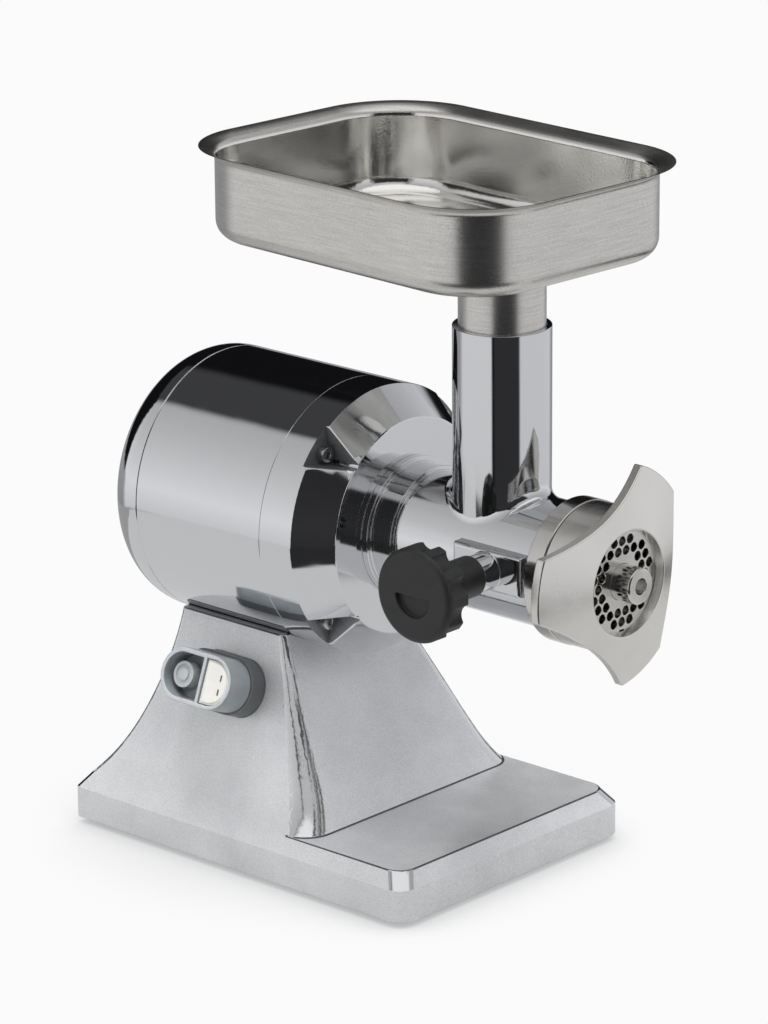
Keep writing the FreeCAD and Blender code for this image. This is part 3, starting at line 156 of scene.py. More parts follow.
# Satin sand-cast aluminium: a fine even grain, with faint cloudy patches left by the sanding belt.
# The real grit is under 0.1 mm and is drawn at 1 mm so that it shows.
satin_aluminium, tree = new_material("satin_cast_aluminium")
place = add(tree, "ShaderNodeTexCoord").outputs["Object"]
cloud = add(tree, "ShaderNodeTexNoise", {"Vector": place, "Scale": scale_for(45.5), "Detail": 3.0,
                                         "Roughness": 0.6})
grain = add(tree, "ShaderNodeTexNoise", {"Vector": place, "Scale": scale_for(1.0), "Detail": 3.0,
                                         "Roughness": 0.7})
patches = add(tree, "ShaderNodeMapRange", {"Value": cloud.outputs["Fac"], "From Min": 0.3, "From Max": 0.7})
speckle = add(tree, "ShaderNodeMapRange", {"Value": grain.outputs["Fac"], "From Min": 0.3, "From Max": 0.7})
mottle = add(tree, "ShaderNodeMix", {0: 0.6, 2: patches.outputs[0], 3: speckle.outputs[0]})
tone = add(tree, "ShaderNodeMix", {0: mottle.outputs[0], 6: linear("#C4C5C8"), 7: linear("#EEEFF0")},
           data_type="RGBA")
gloss = add(tree, "ShaderNodeMapRange", {"Value": patches.outputs[0], "To Min": 0.38, "To Max": 0.5})
bump = add(tree, "ShaderNodeBump", {"Height": grain.outputs["Fac"], "Strength": 0.15, "Distance": 0.0004})
shader = add(tree, "ShaderNodeBsdfPrincipled", {
    "Base Color": tone.outputs[2], "Metallic": 0.6, "Roughness": gloss.outputs[0],
    "Normal": bump.outputs[0]})
finish_material(tree, shader)

# Buffed aluminium: the same metal taken to a mirror on a cloth wheel.
# Long shallow waves, some 40 mm across, bend its reflections a little.
buffed_aluminium, tree = new_material("buffed_cast_aluminium")
place = add(tree, "ShaderNodeTexCoord").outputs["Object"]
wave = add(tree, "ShaderNodeTexNoise", {"Vector": place, "Scale": scale_for(40.0), "Detail": 1.0})
haze = add(tree, "ShaderNodeTexNoise", {"Vector": place, "Scale": scale_for(16.7), "Detail": 4.0})
gloss = add(tree, "ShaderNodeMapRange", {"Value": haze.outputs["Fac"], "From Min": 0.3, "From Max": 0.7,
                                         "To Min": 0.045, "To Max": 0.085})
bump = add(tree, "ShaderNodeBump", {"Height": wave.outputs["Fac"], "Strength": 0.05, "Distance": 0.002})
shader = add(tree, "ShaderNodeBsdfPrincipled", {
    "Base Color": linear("#DADBDD"), "Metallic": 1.0, "Roughness": gloss.outputs[0],
    "Normal": bump.outputs[0]})
finish_material(tree, shader)

# Half-buffed aluminium: the pedestal's corners had one pass on the wheel, so the sanding shows through.
# Fine lines run down it, drawn 1.5 mm apart so that they show.
half_buffed, tree = new_material("half_buffed_cast_aluminium")
place = add(tree, "ShaderNodeTexCoord").outputs["Object"]
crossing = scale_for(1.54)
drawn = add(tree, "ShaderNodeMapping", {"Vector": place, "Scale": (crossing, crossing, scale_for(40.0))})
lines = add(tree, "ShaderNodeTexNoise", {"Vector": drawn.outputs[0], "Scale": 1.0, "Detail": 3.0})
gloss = add(tree, "ShaderNodeMapRange", {"Value": lines.outputs["Fac"], "From Min": 0.3, "From Max": 0.7,
                                         "To Min": 0.05, "To Max": 0.13})
bump = add(tree, "ShaderNodeBump", {"Height": lines.outputs["Fac"], "Strength": 0.1, "Distance": 0.0004})
shader = add(tree, "ShaderNodeBsdfPrincipled", {
    "Base Color": linear("#DCDDDF"), "Metallic": 0.9, "Roughness": gloss.outputs[0],
    "Normal": bump.outputs[0]})
finish_material(tree, shader)

# Painted shade: a dark line a millimetre wide on the saddle's top edge and the apron's front edges, for the
# shadow gap under the motor and the dark that these edges mirror. It varies in 8 mm patches and keeps some
# shine.
shade_line_paint, tree = new_material("painted_shade_line_on_aluminium")
place = add(tree, "ShaderNodeTexCoord").outputs["Object"]
shade_line_patches = add(tree, "ShaderNodeTexNoise", {"Vector": place, "Scale": scale_for(8.33), "Detail": 3.0})
tone = add(tree, "ShaderNodeMix", {0: shade_line_patches.outputs["Fac"], 6: linear("#3E3F42"), 7: linear("#6F7073")},
           data_type="RGBA")
shader = add(tree, "ShaderNodeBsdfPrincipled", {
    "Base Color": tone.outputs[2], "Metallic": 0.7, "Roughness": 0.4})
finish_material(tree, shader)

fine_crease = 28.0
finishes = [satin_aluminium, half_buffed, shade_line_paint, buffed_aluminium]
casting = dress("pedestal_base", "base_casting", finishes, "housing", fine_crease, edge=0.0004)
apron_height = 0.0348
side_height = 0.025
same_place = 1e-5
pedestal_foot = -0.0068
foot_margin = 0.012
pedestal_top = 0.15
saddle_height = 0.146
saddle_band = 0.0012
least_bend = 0.2
underside = -0.1
shade_line_width = 0.0008
cast_radius = 0.003
turned_aside = 0.07
strip_rise = 0.75
chip_rise = (0.2, 0.9)
work = bmesh.new()
work.from_mesh(casting.data)
soft_edges = []
shade_line_edges = []
for edge in work.edges:
    heights = [corner.co.z for corner in edge.verts]
    if len(edge.link_faces) != 2 or edge.calc_face_angle(0.0) < least_bend:
        continue
    outside = all(face.normal.z > underside for face in edge.link_faces)
    if outside and all(abs(height - side_height) < same_place for height in heights):
        soft_edges.append(edge)
    # Painted shadow: the saddle's top edge gets the dark shade line of the gap under the motor.
    if all(abs(height - saddle_height) < saddle_band for height in heights):
        shade_line_edges.append(edge)
    if outside and all(abs(height - apron_height) < same_place for height in heights):
        beside = all(corner.co.y > pedestal_foot + foot_margin for corner in edge.verts)
        (soft_edges if beside else shade_line_edges).append(edge)
# Painted shade: these edges get a narrow bevel in the dark shade-line colour, for shadow and dark
# reflection.
bmesh.ops.bevel(work, geom=shade_line_edges, offset=shade_line_width, offset_type="OFFSET", affect="EDGES",
                segments=2, profile=0.5, material=finishes.index(shade_line_paint), clamp_overlap=False)
soft_edges = [edge for edge in soft_edges if edge.is_valid]
bmesh.ops.bevel(work, geom=soft_edges, offset=cast_radius, offset_type="OFFSET", affect="EDGES", segments=4,
                profile=0.5, material=-1, clamp_overlap=True)
work.normal_update()
for face in work.faces:
    across, along, up = face.normal
    height = face.calc_center_median().z
    corner = abs(across) > turned_aside and abs(along) > turned_aside
    if corner and up < strip_rise and apron_height < height < pedestal_top:
        face.material_index = finishes.index(half_buffed)
    if corner and chip_rise[0] < up < chip_rise[1] and side_height < height < apron_height:
        face.material_index = finishes.index(buffed_aluminium)
    face.smooth = True
work.to_mesh(casting.data)
work.free()
casting.data.set_sharp_from_angle(angle=math.radians(fine_crease))


# Underside: a painted steel plate closes the casting, and four screwed rubber feet carry it.
# The rubber is a plain black moulding, matt, with a fine skin that is drawn at 1.1 mm so that it shows.
moulded_rubber, tree = new_material("moulded_black_rubber")
place = add(tree, "ShaderNodeTexCoord").outputs["Object"]
speck = add(tree, "ShaderNodeTexNoise", {"Vector": place, "Scale": scale_for(1.11), "Detail": 2.0})
tone = add(tree, "ShaderNodeMix", {0: speck.outputs["Fac"], 6: linear("#1B1B1B"), 7: linear("#2A2A2A")},
           data_type="RGBA")
bump = add(tree, "ShaderNodeBump", {"Height": speck.outputs["Fac"], "Strength": 0.2, "Distance": 0.0003})
shader = add(tree, "ShaderNodeBsdfPrincipled", {
    "Base Color": tone.outputs[2], "Roughness": 0.75, "Normal": bump.outputs[0]})
finish_material(tree, shader)

# Stoved grey paint on steel sheet: half gloss, with an orange peel of about 2 mm.
painted_sheet, tree = new_material("painted_steel_sheet")
place = add(tree, "ShaderNodeTexCoord").outputs["Object"]
peel = add(tree, "ShaderNodeTexNoise", {"Vector": place, "Scale": scale_for(2.0), "Detail": 2.0})
tone = add(tree, "ShaderNodeMix", {0: peel.outputs["Fac"], 6: linear("#A9ABAD"), 7: linear("#B5B7B9")},
           data_type="RGBA")
bump = add(tree, "ShaderNodeBump", {"Height": peel.outputs["Fac"], "Strength": 0.15, "Distance": 0.0003})
shader = add(tree, "ShaderNodeBsdfPrincipled", {
    "Base Color": tone.outputs[2], "Roughness": 0.5, "Normal": bump.outputs[0]})
finish_material(tree, shader)

coarse_crease = 35.0
dress("rubber_feet", "feet", [moulded_rubber], "housing", coarse_crease, edge=0.0004)
dress("bottom_plate", "underside_plate", [painted_sheet], "housing")

# Screws and bolts: zinc-plated steel with turned heads.
# The plating is a little cloudy, in spots of 2.5 mm, so the heads are softer than the buffed casting.
plated_steel, tree = new_material("zinc_plated_steel")
place = add(tree, "ShaderNodeTexCoord").outputs["Object"]
cloud = add(tree, "ShaderNodeTexNoise", {"Vector": place, "Scale": scale_for(2.5), "Detail": 3.0})
tone = add(tree, "ShaderNodeMix", {0: cloud.outputs["Fac"], 6: linear("#B7B8B8"), 7: linear("#D8D9D9")},
           data_type="RGBA")
gloss = add(tree, "ShaderNodeMapRange", {"Value": cloud.outputs["Fac"], "To Min": 0.14, "To Max": 0.28})
shader = add(tree, "ShaderNodeBsdfPrincipled", {
    "Base Color": tone.outputs[2], "Metallic": 1.0, "Roughness": gloss.outputs[0]})
finish_material(tree, shader)

for node in ("bottom_plate_screws", "foot_screws", "motor_bolts", "rear_cap_screws", "cover_screws",
             "head_screws", "capacitor_clamp"):
    dress(node, node + "_finish", [plated_steel], "housing", coarse_crease, edge=0.0003)


# Cable gland: a black nylon fitting screwed through the back of the pedestal, held by a nut inside.
# Its moulded skin has a fine spark-eroded grain, drawn at 0.7 mm so that it shows.
grained_nylon, tree = new_material("grained_black_nylon")
place = add(tree, "ShaderNodeTexCoord").outputs["Object"]
grain = add(tree, "ShaderNodeTexNoise", {"Vector": place, "Scale": scale_for(0.714), "Detail": 3.0})
tone = add(tree, "ShaderNodeMix", {0: grain.outputs["Fac"], 6: linear("#161716"), 7: linear("#232423")},
           data_type="RGBA")
bump = add(tree, "ShaderNodeBump", {"Height": grain.outputs["Fac"], "Strength": 0.25, "Distance": 0.0003})
shader = add(tree, "ShaderNodeBsdfPrincipled", {
    "Base Color": tone.outputs[2], "Roughness": 0.48, "Normal": bump.outputs[0]})
finish_material(tree, shader)

dress("cable_gland", "gland_body", [grained_nylon], "housing", coarse_crease, edge=0.0004)
dress("gland_nut", "gland_lock_nut", [grained_nylon], "housing", coarse_crease)


# Motor: a cast barrel with a rounded cap behind, both buffed to a mirror and joined at a fine line.
# The stator, bearings and rotor are inside and don't show.
dress("motor_barrel", "motor_shell", [buffed_aluminium], "housing", fine_crease, edge=0.0005)
dress("rear_cap", "motor_end_cap", [buffed_aluminium], "housing", fine_crease, edge=0.0006)
dress("bearing_shield", "shield_wall", [satin_aluminium], "housing")

# Ground bearing steel: bright, with grinding marks drawn at 1.25 mm so that they show.
ground_steel, tree = new_material("ground_bearing_steel")
place = add(tree, "ShaderNodeTexCoord").outputs["Object"]
lines = add(tree, "ShaderNodeTexNoise", {"Vector": place, "Scale": scale_for(1.25), "Detail": 2.0})
gloss = add(tree, "ShaderNodeMapRange", {"Value": lines.outputs["Fac"], "To Min": 0.12, "To Max": 0.3})
shader = add(tree, "ShaderNodeBsdfPrincipled", {
    "Base Color": linear("#C4C5C8"), "Metallic": 1.0, "Roughness": gloss.outputs[0]})
finish_material(tree, shader)

# Core sheet: the edges of the stacked iron sheets are dull lines, drawn 1 mm apart so that they show.
# The wave pattern repeats each tenth of pi at a scale of 1.
wave_repeat = math.pi / 10
stacked_sheet, tree = new_material("stacked_core_sheet")
place = add(tree, "ShaderNodeTexCoord").outputs["Object"]
layers = add(tree, "ShaderNodeTexWave", {
    "Vector": place, "Scale": wave_repeat * scale_for(0.98), "Distortion": 0.2}, bands_direction="Y")
tone = add(tree, "ShaderNodeMix", {0: layers.outputs["Fac"], 6: linear("#4C4A49"), 7: linear("#77736F")},
           data_type="RGBA")
bump = add(tree, "ShaderNodeBump", {"Height": layers.outputs["Fac"], "Strength": 0.4, "Distance": 0.0004})
shader = add(tree, "ShaderNodeBsdfPrincipled", {
    "Base Color": tone.outputs[2], "Metallic": 0.8, "Roughness": 0.5, "Normal": bump.outputs[0]})
finish_material(tree, shader)

# Varnished copper wire: brown and half glossy, with its turns about 1 mm apart.
varnished_wire, tree = new_material("varnished_copper_wire")
place = add(tree, "ShaderNodeTexCoord").outputs["Object"]
turns = add(tree, "ShaderNodeTexWave", {
    "Vector": place, "Scale": wave_repeat * scale_for(1.05), "Distortion": 2.0},
    wave_type="RINGS", rings_direction="Y")
tone = add(tree, "ShaderNodeMix", {0: turns.outputs["Fac"], 6: linear("#6E3418"), 7: linear("#B9683A")},
           data_type="RGBA")
bump = add(tree, "ShaderNodeBump", {"Height": turns.outputs["Fac"], "Strength": 0.6, "Distance": 0.0006})
shader = add(tree, "ShaderNodeBsdfPrincipled", {
    "Base Color": tone.outputs[2], "Metallic": 0.6, "Roughness": 0.35, "Normal": bump.outputs[0]})
finish_material(tree, shader)

for node in ("front_bearing", "rear_bearing", "idler_bearings", "output_bearings"):
    dress(node, node + "_finish", [ground_steel], "housing", coarse_crease, edge=0.0003)
dress("stator_core", "stator_stack", [stacked_sheet], "housing")
dress("stator_windings", "coil_heads", [varnished_wire], "housing")
dress("rotor_core", "rotor_stack", [stacked_sheet], "rotor")
dress("rotor_shaft", "motor_shaft", [ground_steel], "rotor")
dress("cooling_fan", "fan_wheel", [grained_nylon], "rotor")


# Gear train: hardened spur gears in an oil bath behind the front cover.
# The steel is hobbed and then darkened by a film of oil, in patches some 7 mm across.
oiled_steel, tree = new_material("oiled_gear_steel")
place = add(tree, "ShaderNodeTexCoord").outputs["Object"]
film = add(tree, "ShaderNodeTexNoise", {"Vector": place, "Scale": scale_for(6.67), "Detail": 4.0})
tone = add(tree, "ShaderNodeMix", {0: film.outputs["Fac"], 6: linear("#7C7A76"), 7: linear("#A3A19C")},
           data_type="RGBA")
shader = add(tree, "ShaderNodeBsdfPrincipled", {
    "Base Color": tone.outputs[2], "Metallic": 1.0, "Roughness": 0.27})
finish_material(tree, shader)

for node, body in (("motor_pinion", "rotor"), ("first_gear", "idler"), ("idler_shaft", "idler"),
                   ("output_gear", "drive"), ("output_shaft", "drive")):
    dress(node, node + "_finish", [oiled_steel], body)
dress("oil_seal", "shaft_seal", [moulded_rubber], "housing", coarse_crease, edge=0.0003)


# Gearbox cover: a buffed casting with a sloping rim, four screw pockets and a snout for the head.
# The wheel doesn't reach into the pockets, so they keep the dull grain of the sand mould, drawn at 1.4 mm.
rough_casting, tree = new_material("as_cast_aluminium")
place = add(tree, "ShaderNodeTexCoord").outputs["Object"]
sand = add(tree, "ShaderNodeTexNoise", {"Vector": place, "Scale": scale_for(1.43), "Detail": 3.0,
                                        "Roughness": 0.7})
tone = add(tree, "ShaderNodeMix", {0: sand.outputs["Fac"], 6: linear("#6C6D6F"), 7: linear("#939496")},
           data_type="RGBA")
bump = add(tree, "ShaderNodeBump", {"Height": sand.outputs["Fac"], "Strength": 0.3, "Distance": 0.0005})
shader = add(tree, "ShaderNodeBsdfPrincipled", {
    "Base Color": tone.outputs[2], "Metallic": 0.7, "Roughness": 0.45, "Normal": bump.outputs[0]})
finish_material(tree, shader)

cover = dress("gearbox_cover", "front_cover", [buffed_aluminium, rough_casting], "housing", fine_crease)
axis_height = 0.221
ridge_y = -0.0042
pocket_floor_y = 0.02
pocket_inner_radius = 0.055
pocket_floor_margin = 0.0005
level_front = 0.99
wall_slope = 0.3
outer_skin = 0.7
least_rim_bend = 0.4
rim_radius = 0.0009
work = bmesh.new()
work.from_mesh(cover.data)
pocket_rims = []
for face in work.faces:
    spot = face.calc_center_median()
    outward = Vector((spot.x, 0.0, spot.z - axis_height))
    if outward.length < pocket_inner_radius or not ridge_y < spot.y < pocket_floor_y + same_place:
        continue
    floor_of_pocket = face.normal.y < -level_front
    wall_of_pocket = abs(face.normal.y) < wall_slope and face.normal.dot(outward.normalized()) < outer_skin
    if floor_of_pocket or wall_of_pocket:
        face.material_index = 1
for edge in work.edges:
    both_sides = sorted(face.material_index for face in edge.link_faces)
    in_front = all(ridge_y < corner.co.y < pocket_floor_y - pocket_floor_margin for corner in edge.verts)
    if both_sides == [0, 1] and in_front and edge.calc_face_angle(0.0) > least_rim_bend:
        pocket_rims.append(edge)
bmesh.ops.bevel(work, geom=pocket_rims, offset=rim_radius, offset_type="OFFSET", affect="EDGES", segments=3,
                profile=0.5, material=0, clamp_overlap=False)
for face in work.faces:
    face.smooth = True
work.to_mesh(cover.data)
work.free()
cover.data.set_sharp_from_angle(angle=math.radians(fine_crease))


# Mincing head: the buffed casting with the upright feed neck and the boss for the clamp.
# The neck's foot is blended into the barrel.
dress("head_housing", "mincing_head", [buffed_aluminium], "housing", fine_crease, edge=0.0005)


# Clamp: a lobed black hand knob on a plated stem holds the mincing unit in the head.
# The knob is a compression moulding with a dull skin: a fine grain, drawn at 0.7 mm, under 8 mm clouds.
moulded_phenolic, tree = new_material("moulded_black_phenolic")
place = add(tree, "ShaderNodeTexCoord").outputs["Object"]
cloud = add(tree, "ShaderNodeTexNoise", {"Vector": place, "Scale": scale_for(8.33), "Detail": 3.0})
grain = add(tree, "ShaderNodeTexNoise", {"Vector": place, "Scale": scale_for(0.667), "Detail": 2.0})
tone = add(tree, "ShaderNodeMix", {0: cloud.outputs["Fac"], 6: linear("#151615"), 7: linear("#212221")},
           data_type="RGBA")
gloss = add(tree, "ShaderNodeMapRange", {"Value": cloud.outputs["Fac"], "From Min": 0.3, "From Max": 0.7,
                                         "To Min": 0.42, "To Max": 0.56})
bump = add(tree, "ShaderNodeBump", {"Height": grain.outputs["Fac"], "Strength": 0.2, "Distance": 0.0003})
shader = add(tree, "ShaderNodeBsdfPrincipled", {
    "Base Color": tone.outputs[2], "Roughness": gloss.outputs[0], "Normal": bump.outputs[0]})
finish_material(tree, shader)

dress("clamp_knob", "hand_knob", [moulded_phenolic], "knob", fine_crease, edge=0.0007)
dress("clamp_stem", "knob_stem", [plated_steel], "knob")
dress("clamp_pad", "clamp_tip", [plated_steel], "pad")


# Mincing unit: a stainless lining with its front band and thread, the feed screw, knife and plate.
# Turned stainless shows very fine rings about the axis, drawn 1.2 mm apart so that they show.
turned_stainless, tree = new_material("turned_stainless_steel")
place = add(tree, "ShaderNodeTexCoord").outputs["Object"]
centred = add(tree, "ShaderNodeMapping", {"Vector": place, "Location": (0.0, 0.0, -axis_height)})
rings = add(tree, "ShaderNodeTexWave", {
    "Vector": centred.outputs[0], "Scale": wave_repeat * scale_for(1.208), "Distortion": 0.6,
    "Detail": 2.0}, wave_type="RINGS", rings_direction="Y")
cloud = add(tree, "ShaderNodeTexNoise", {"Vector": place, "Scale": scale_for(14.3), "Detail": 3.0})
tone = add(tree, "ShaderNodeMix", {0: cloud.outputs["Fac"], 6: linear("#CDCBC7"), 7: linear("#DEDDDA")},
           data_type="RGBA")
gloss = add(tree, "ShaderNodeMapRange", {"Value": cloud.outputs["Fac"], "From Min": 0.3, "From Max": 0.7,
                                         "To Min": 0.13, "To Max": 0.2})
bump = add(tree, "ShaderNodeBump", {"Height": rings.outputs["Fac"], "Strength": 0.06, "Distance": 0.0003})
shader = add(tree, "ShaderNodeBsdfPrincipled", {
    "Base Color": tone.outputs[2], "Metallic": 1.0, "Roughness": gloss.outputs[0],
    "Normal": bump.outputs[0]})
finish_material(tree, shader)

dress("mincing_sleeve", "barrel_lining", [turned_stainless], "mincing_unit", fine_crease, edge=0.0005)
dress("plate_pin", "locating_pin", [turned_stainless], "mincing_unit")
dress("auger", "feed_screw_finish", [turned_stainless], "feed_screw", edge=0.0003)
dress("knife", "knife_cross", [turned_stainless], "feed_screw", edge=0.0002)
dress("hole_plate", "mincing_plate", [turned_stainless], "plate", edge=0.0003)


# Ring nut: a stainless ring with three dished wings to turn it by hand.
# Its front is linished to an even satin that stays brighter than the base; the grit is drawn at 0.9 mm.
linished_stainless, tree = new_material("linished_stainless_steel")
place = add(tree, "ShaderNodeTexCoord").outputs["Object"]
grain = add(tree, "ShaderNodeTexNoise", {"Vector": place, "Scale": scale_for(0.91), "Detail": 3.0})
cloud = add(tree, "ShaderNodeTexNoise", {"Vector": place, "Scale": scale_for(25.0), "Detail": 3.0})
tone = add(tree, "ShaderNodeMix", {0: cloud.outputs["Fac"], 6: linear("#D6D4D0"), 7: linear("#E8E7E4")},
           data_type="RGBA")
gloss = add(tree, "ShaderNodeMapRange", {"Value": cloud.outputs["Fac"], "From Min": 0.3, "From Max": 0.7,
                                         "To Min": 0.2, "To Max": 0.3})
bump = add(tree, "ShaderNodeBump", {"Height": grain.outputs["Fac"], "Strength": 0.08, "Distance": 0.0003})
shader = add(tree, "ShaderNodeBsdfPrincipled", {
    "Base Color": tone.outputs[2], "Metallic": 1.0, "Roughness": gloss.outputs[0],
    "Normal": bump.outputs[0]})
finish_material(tree, shader)

dress("ring_nut", "winged_nut", [linished_stainless], "nut", fine_crease, edge=0.0006)


# Tray: drawn stainless sheet with a turned-out rim, and a short tube that drops into the neck.
# Its walls are brushed level and then dulled, so short lines 0.8 mm apart lie under a 1 mm speckle.
brushed_sheet, tree = new_material("brushed_stainless_sheet")
place = add(tree, "ShaderNodeTexCoord").outputs["Object"]
level_scale = scale_for(25.0)
stretched = add(tree, "ShaderNodeMapping", {
    "Vector": place, "Scale": (level_scale, level_scale, scale_for(0.77))})
lines = add(tree, "ShaderNodeTexNoise", {"Vector": stretched.outputs[0], "Scale": 1.0, "Detail": 4.0})
speck = add(tree, "ShaderNodeTexNoise", {"Vector": place, "Scale": scale_for(1.0), "Detail": 2.0})
blend = add(tree, "ShaderNodeMix", {0: 0.5, 2: lines.outputs["Fac"], 3: speck.outputs["Fac"]})
spread = add(tree, "ShaderNodeMapRange", {"Value": blend.outputs[0], "From Min": 0.35, "From Max": 0.65})
cloud = add(tree, "ShaderNodeTexNoise", {"Vector": place, "Scale": scale_for(71.4), "Detail": 2.0})
tone = add(tree, "ShaderNodeMix", {0: spread.outputs[0], 6: linear("#C4C2BE"), 7: linear("#DEDDDA")},
           data_type="RGBA")
gloss = add(tree, "ShaderNodeMapRange", {"Value": cloud.outputs["Fac"], "From Min": 0.3, "From Max": 0.7,
                                         "To Min": 0.25, "To Max": 0.33})
bump = add(tree, "ShaderNodeBump", {"Height": blend.outputs[0], "Strength": 0.1, "Distance": 0.0004})
shader = add(tree, "ShaderNodeBsdfPrincipled", {
    "Base Color": tone.outputs[2], "Metallic": 1.0, "Roughness": gloss.outputs[0],
    "Normal": bump.outputs[0]})
finish_material(tree, shader)

# The inside is polished for cleaning. Drawing left waves some 80 mm across in the sheet, and a dish
# round the throat, which bend the reflections.
throat = Vector((0.0, -0.0821, 0.0))
polished_sheet, tree = new_material("polished_stainless_sheet")
place = add(tree, "ShaderNodeTexCoord").outputs["Object"]
draw = add(tree, "ShaderNodeTexNoise", {"Vector": place, "Scale": scale_for(83.3), "Detail": 1.0})
grain = add(tree, "ShaderNodeTexNoise", {"Vector": place, "Scale": scale_for(1.11), "Detail": 2.0})
centred = add(tree, "ShaderNodeMapping", {"Vector": place, "Location": -throat, "Scale": (1.0, 1.0, 0.0)})
throat_distance = add(tree, "ShaderNodeVectorMath", {0: centred.outputs[0]}, operation="LENGTH")
dish = add(tree, "ShaderNodeMapRange", {"Value": throat_distance.outputs["Value"], "From Min": 0.025,
                                        "From Max": 0.08}, interpolation_type="SMOOTHSTEP")
waves = add(tree, "ShaderNodeMix", {0: 0.35, 2: draw.outputs["Fac"], 3: dish.outputs[0]})
relief = add(tree, "ShaderNodeMix", {0: 0.012, 2: waves.outputs[0], 3: grain.outputs["Fac"]})
gloss = add(tree, "ShaderNodeMapRange", {"Value": draw.outputs["Fac"], "From Min": 0.3, "From Max": 0.7,
                                         "To Min": 0.06, "To Max": 0.12})
bump = add(tree, "ShaderNodeBump", {"Height": relief.outputs[0], "Strength": 0.6, "Distance": 0.011})
shader = add(tree, "ShaderNodeBsdfPrincipled", {
    "Base Color": linear("#EDECE9"), "Metallic": 1.0, "Roughness": gloss.outputs[0],
    "Normal": bump.outputs[0]})
finish_material(tree, shader)

tray_sheet = dress("tray", "feed_tray_sheet", [brushed_sheet, polished_sheet], "feed_tray", fine_crease)
tray_low, tray_high = (Vector(corner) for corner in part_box("tray"))
rim_rise = 0.0045
rim_margin = 0.001
bend_radius = 0.0035
work = bmesh.new()
work.from_mesh(tray_sheet.data)
rim_bends = [edge for edge in work.edges
             if all(abs(corner.co.z - (tray_high.z - rim_rise)) < same_place for corner in edge.verts)]
bmesh.ops.bevel(work, geom=rim_bends, offset=bend_radius, offset_type="OFFSET", affect="EDGES", segments=5,
                profile=0.5, material=-1, clamp_overlap=True)
for face in work.faces:
    face.smooth = True
work.to_mesh(tray_sheet.data)
work.free()
tray_sheet.data.set_sharp_from_angle(angle=math.radians(fine_crease))

# The flat floor ends in a crisp edge round the throat.
throat_reach = 0.06
level_floor = 0.9999
on_plan = Vector((1.0, 1.0, 0.0))
sides_of_edge = {}
for face in tray_sheet.data.polygons:
    for edge_key in face.edge_keys:
        sides_of_edge.setdefault(edge_key, set()).add(face.normal.z > level_floor)
for edge in tray_sheet.data.edges:
    corners = [tray_sheet.data.vertices[at].co for at in edge.vertices]
    near = all(((corner - throat) * on_plan).length < throat_reach for corner in corners)
    if near and len(sides_of_edge[edge.key]) == 2:
        edge.use_edge_sharp = True

# All that faces inward below the rim is polished.
tray_middle = (tray_low + tray_high) / 2
floor_slope = 0.3
for face in tray_sheet.data.polygons:
    inward = (tray_middle - face.center) * on_plan
    on_rim = face.center.z > tray_high.z - rim_rise - rim_margin
    if not on_rim and (face.normal.z > floor_slope or face.normal.dot(inward) > 0):
        face.material_index = 1
dress("tray_spout", "feed_tray_tube", [brushed_sheet], "feed_tray")


# Switch: a dark base on the pedestal's side, a grey hood, and two push buttons in its wells.
# All are injection mouldings; the base is satin, with a fine grain, drawn at 0.8 mm so that it shows.
dark_plastic, tree = new_material("dark_moulded_plastic")
place = add(tree, "ShaderNodeTexCoord").outputs["Object"]
grain = add(tree, "ShaderNodeTexNoise", {"Vector": place, "Scale": scale_for(0.833), "Detail": 2.0})
tone = add(tree, "ShaderNodeMix", {0: grain.outputs["Fac"], 6: linear("#515456"), 7: linear("#5F6264")},
           data_type="RGBA")
bump = add(tree, "ShaderNodeBump", {"Height": grain.outputs["Fac"], "Strength": 0.15, "Distance": 0.0003})
shader = add(tree, "ShaderNodeBsdfPrincipled", {
    "Base Color": tone.outputs[2], "Roughness": 0.42, "Normal": bump.outputs[0]})
finish_material(tree, shader)

# Smoke grey soft plastic: smooth and a little clear, with clouds some 11 mm across.
smoke_plastic, tree = new_material("smoke_grey_soft_plastic")
place = add(tree, "ShaderNodeTexCoord").outputs["Object"]
cloud = add(tree, "ShaderNodeTexNoise", {"Vector": place, "Scale": scale_for(11.1), "Detail": 2.0})
tone = add(tree, "ShaderNodeMix", {0: cloud.outputs["Fac"], 6: linear("#7D8387"), 7: linear("#959A9D")},
           data_type="RGBA")
shader = add(tree, "ShaderNodeBsdfPrincipled", {
    "Base Color": tone.outputs[2], "Roughness": 0.3, "Subsurface Weight": 0.15, "Subsurface Scale": 0.003,
    "Coat Weight": 0.2})
finish_material(tree, shader)

# The same plastic is paler at its thin front rim, where light comes through it.
thin_smoke_plastic, tree = new_material("thin_smoke_grey_soft_plastic")
place = add(tree, "ShaderNodeTexCoord").outputs["Object"]
cloud = add(tree, "ShaderNodeTexNoise", {"Vector": place, "Scale": scale_for(11.1), "Detail": 2.0})
tone = add(tree, "ShaderNodeMix", {0: cloud.outputs["Fac"], 6: linear("#A6ABAF"), 7: linear("#BFC3C6")},
           data_type="RGBA")
shader = add(tree, "ShaderNodeBsdfPrincipled", {
    "Base Color": tone.outputs[2], "Roughness": 0.28, "Subsurface Weight": 0.3, "Subsurface Scale": 0.003,
    "Coat Weight": 0.2})
finish_material(tree, shader)

# Cream plastic of the start button: half glossy, even but for faint clouds of 5 mm.
cream_plastic, tree = new_material("cream_button_plastic")
place = add(tree, "ShaderNodeTexCoord").outputs["Object"]
cloud = add(tree, "ShaderNodeTexNoise", {"Vector": place, "Scale": scale_for(5.0), "Detail": 2.0})
tone = add(tree, "ShaderNodeMix", {0: cloud.outputs["Fac"], 6: linear("#D3D3CC"), 7: linear("#E1E0D9")},
           data_type="RGBA")
shader = add(tree, "ShaderNodeBsdfPrincipled", {"Base Color": tone.outputs[2], "Roughness": 0.35})
finish_material(tree, shader)

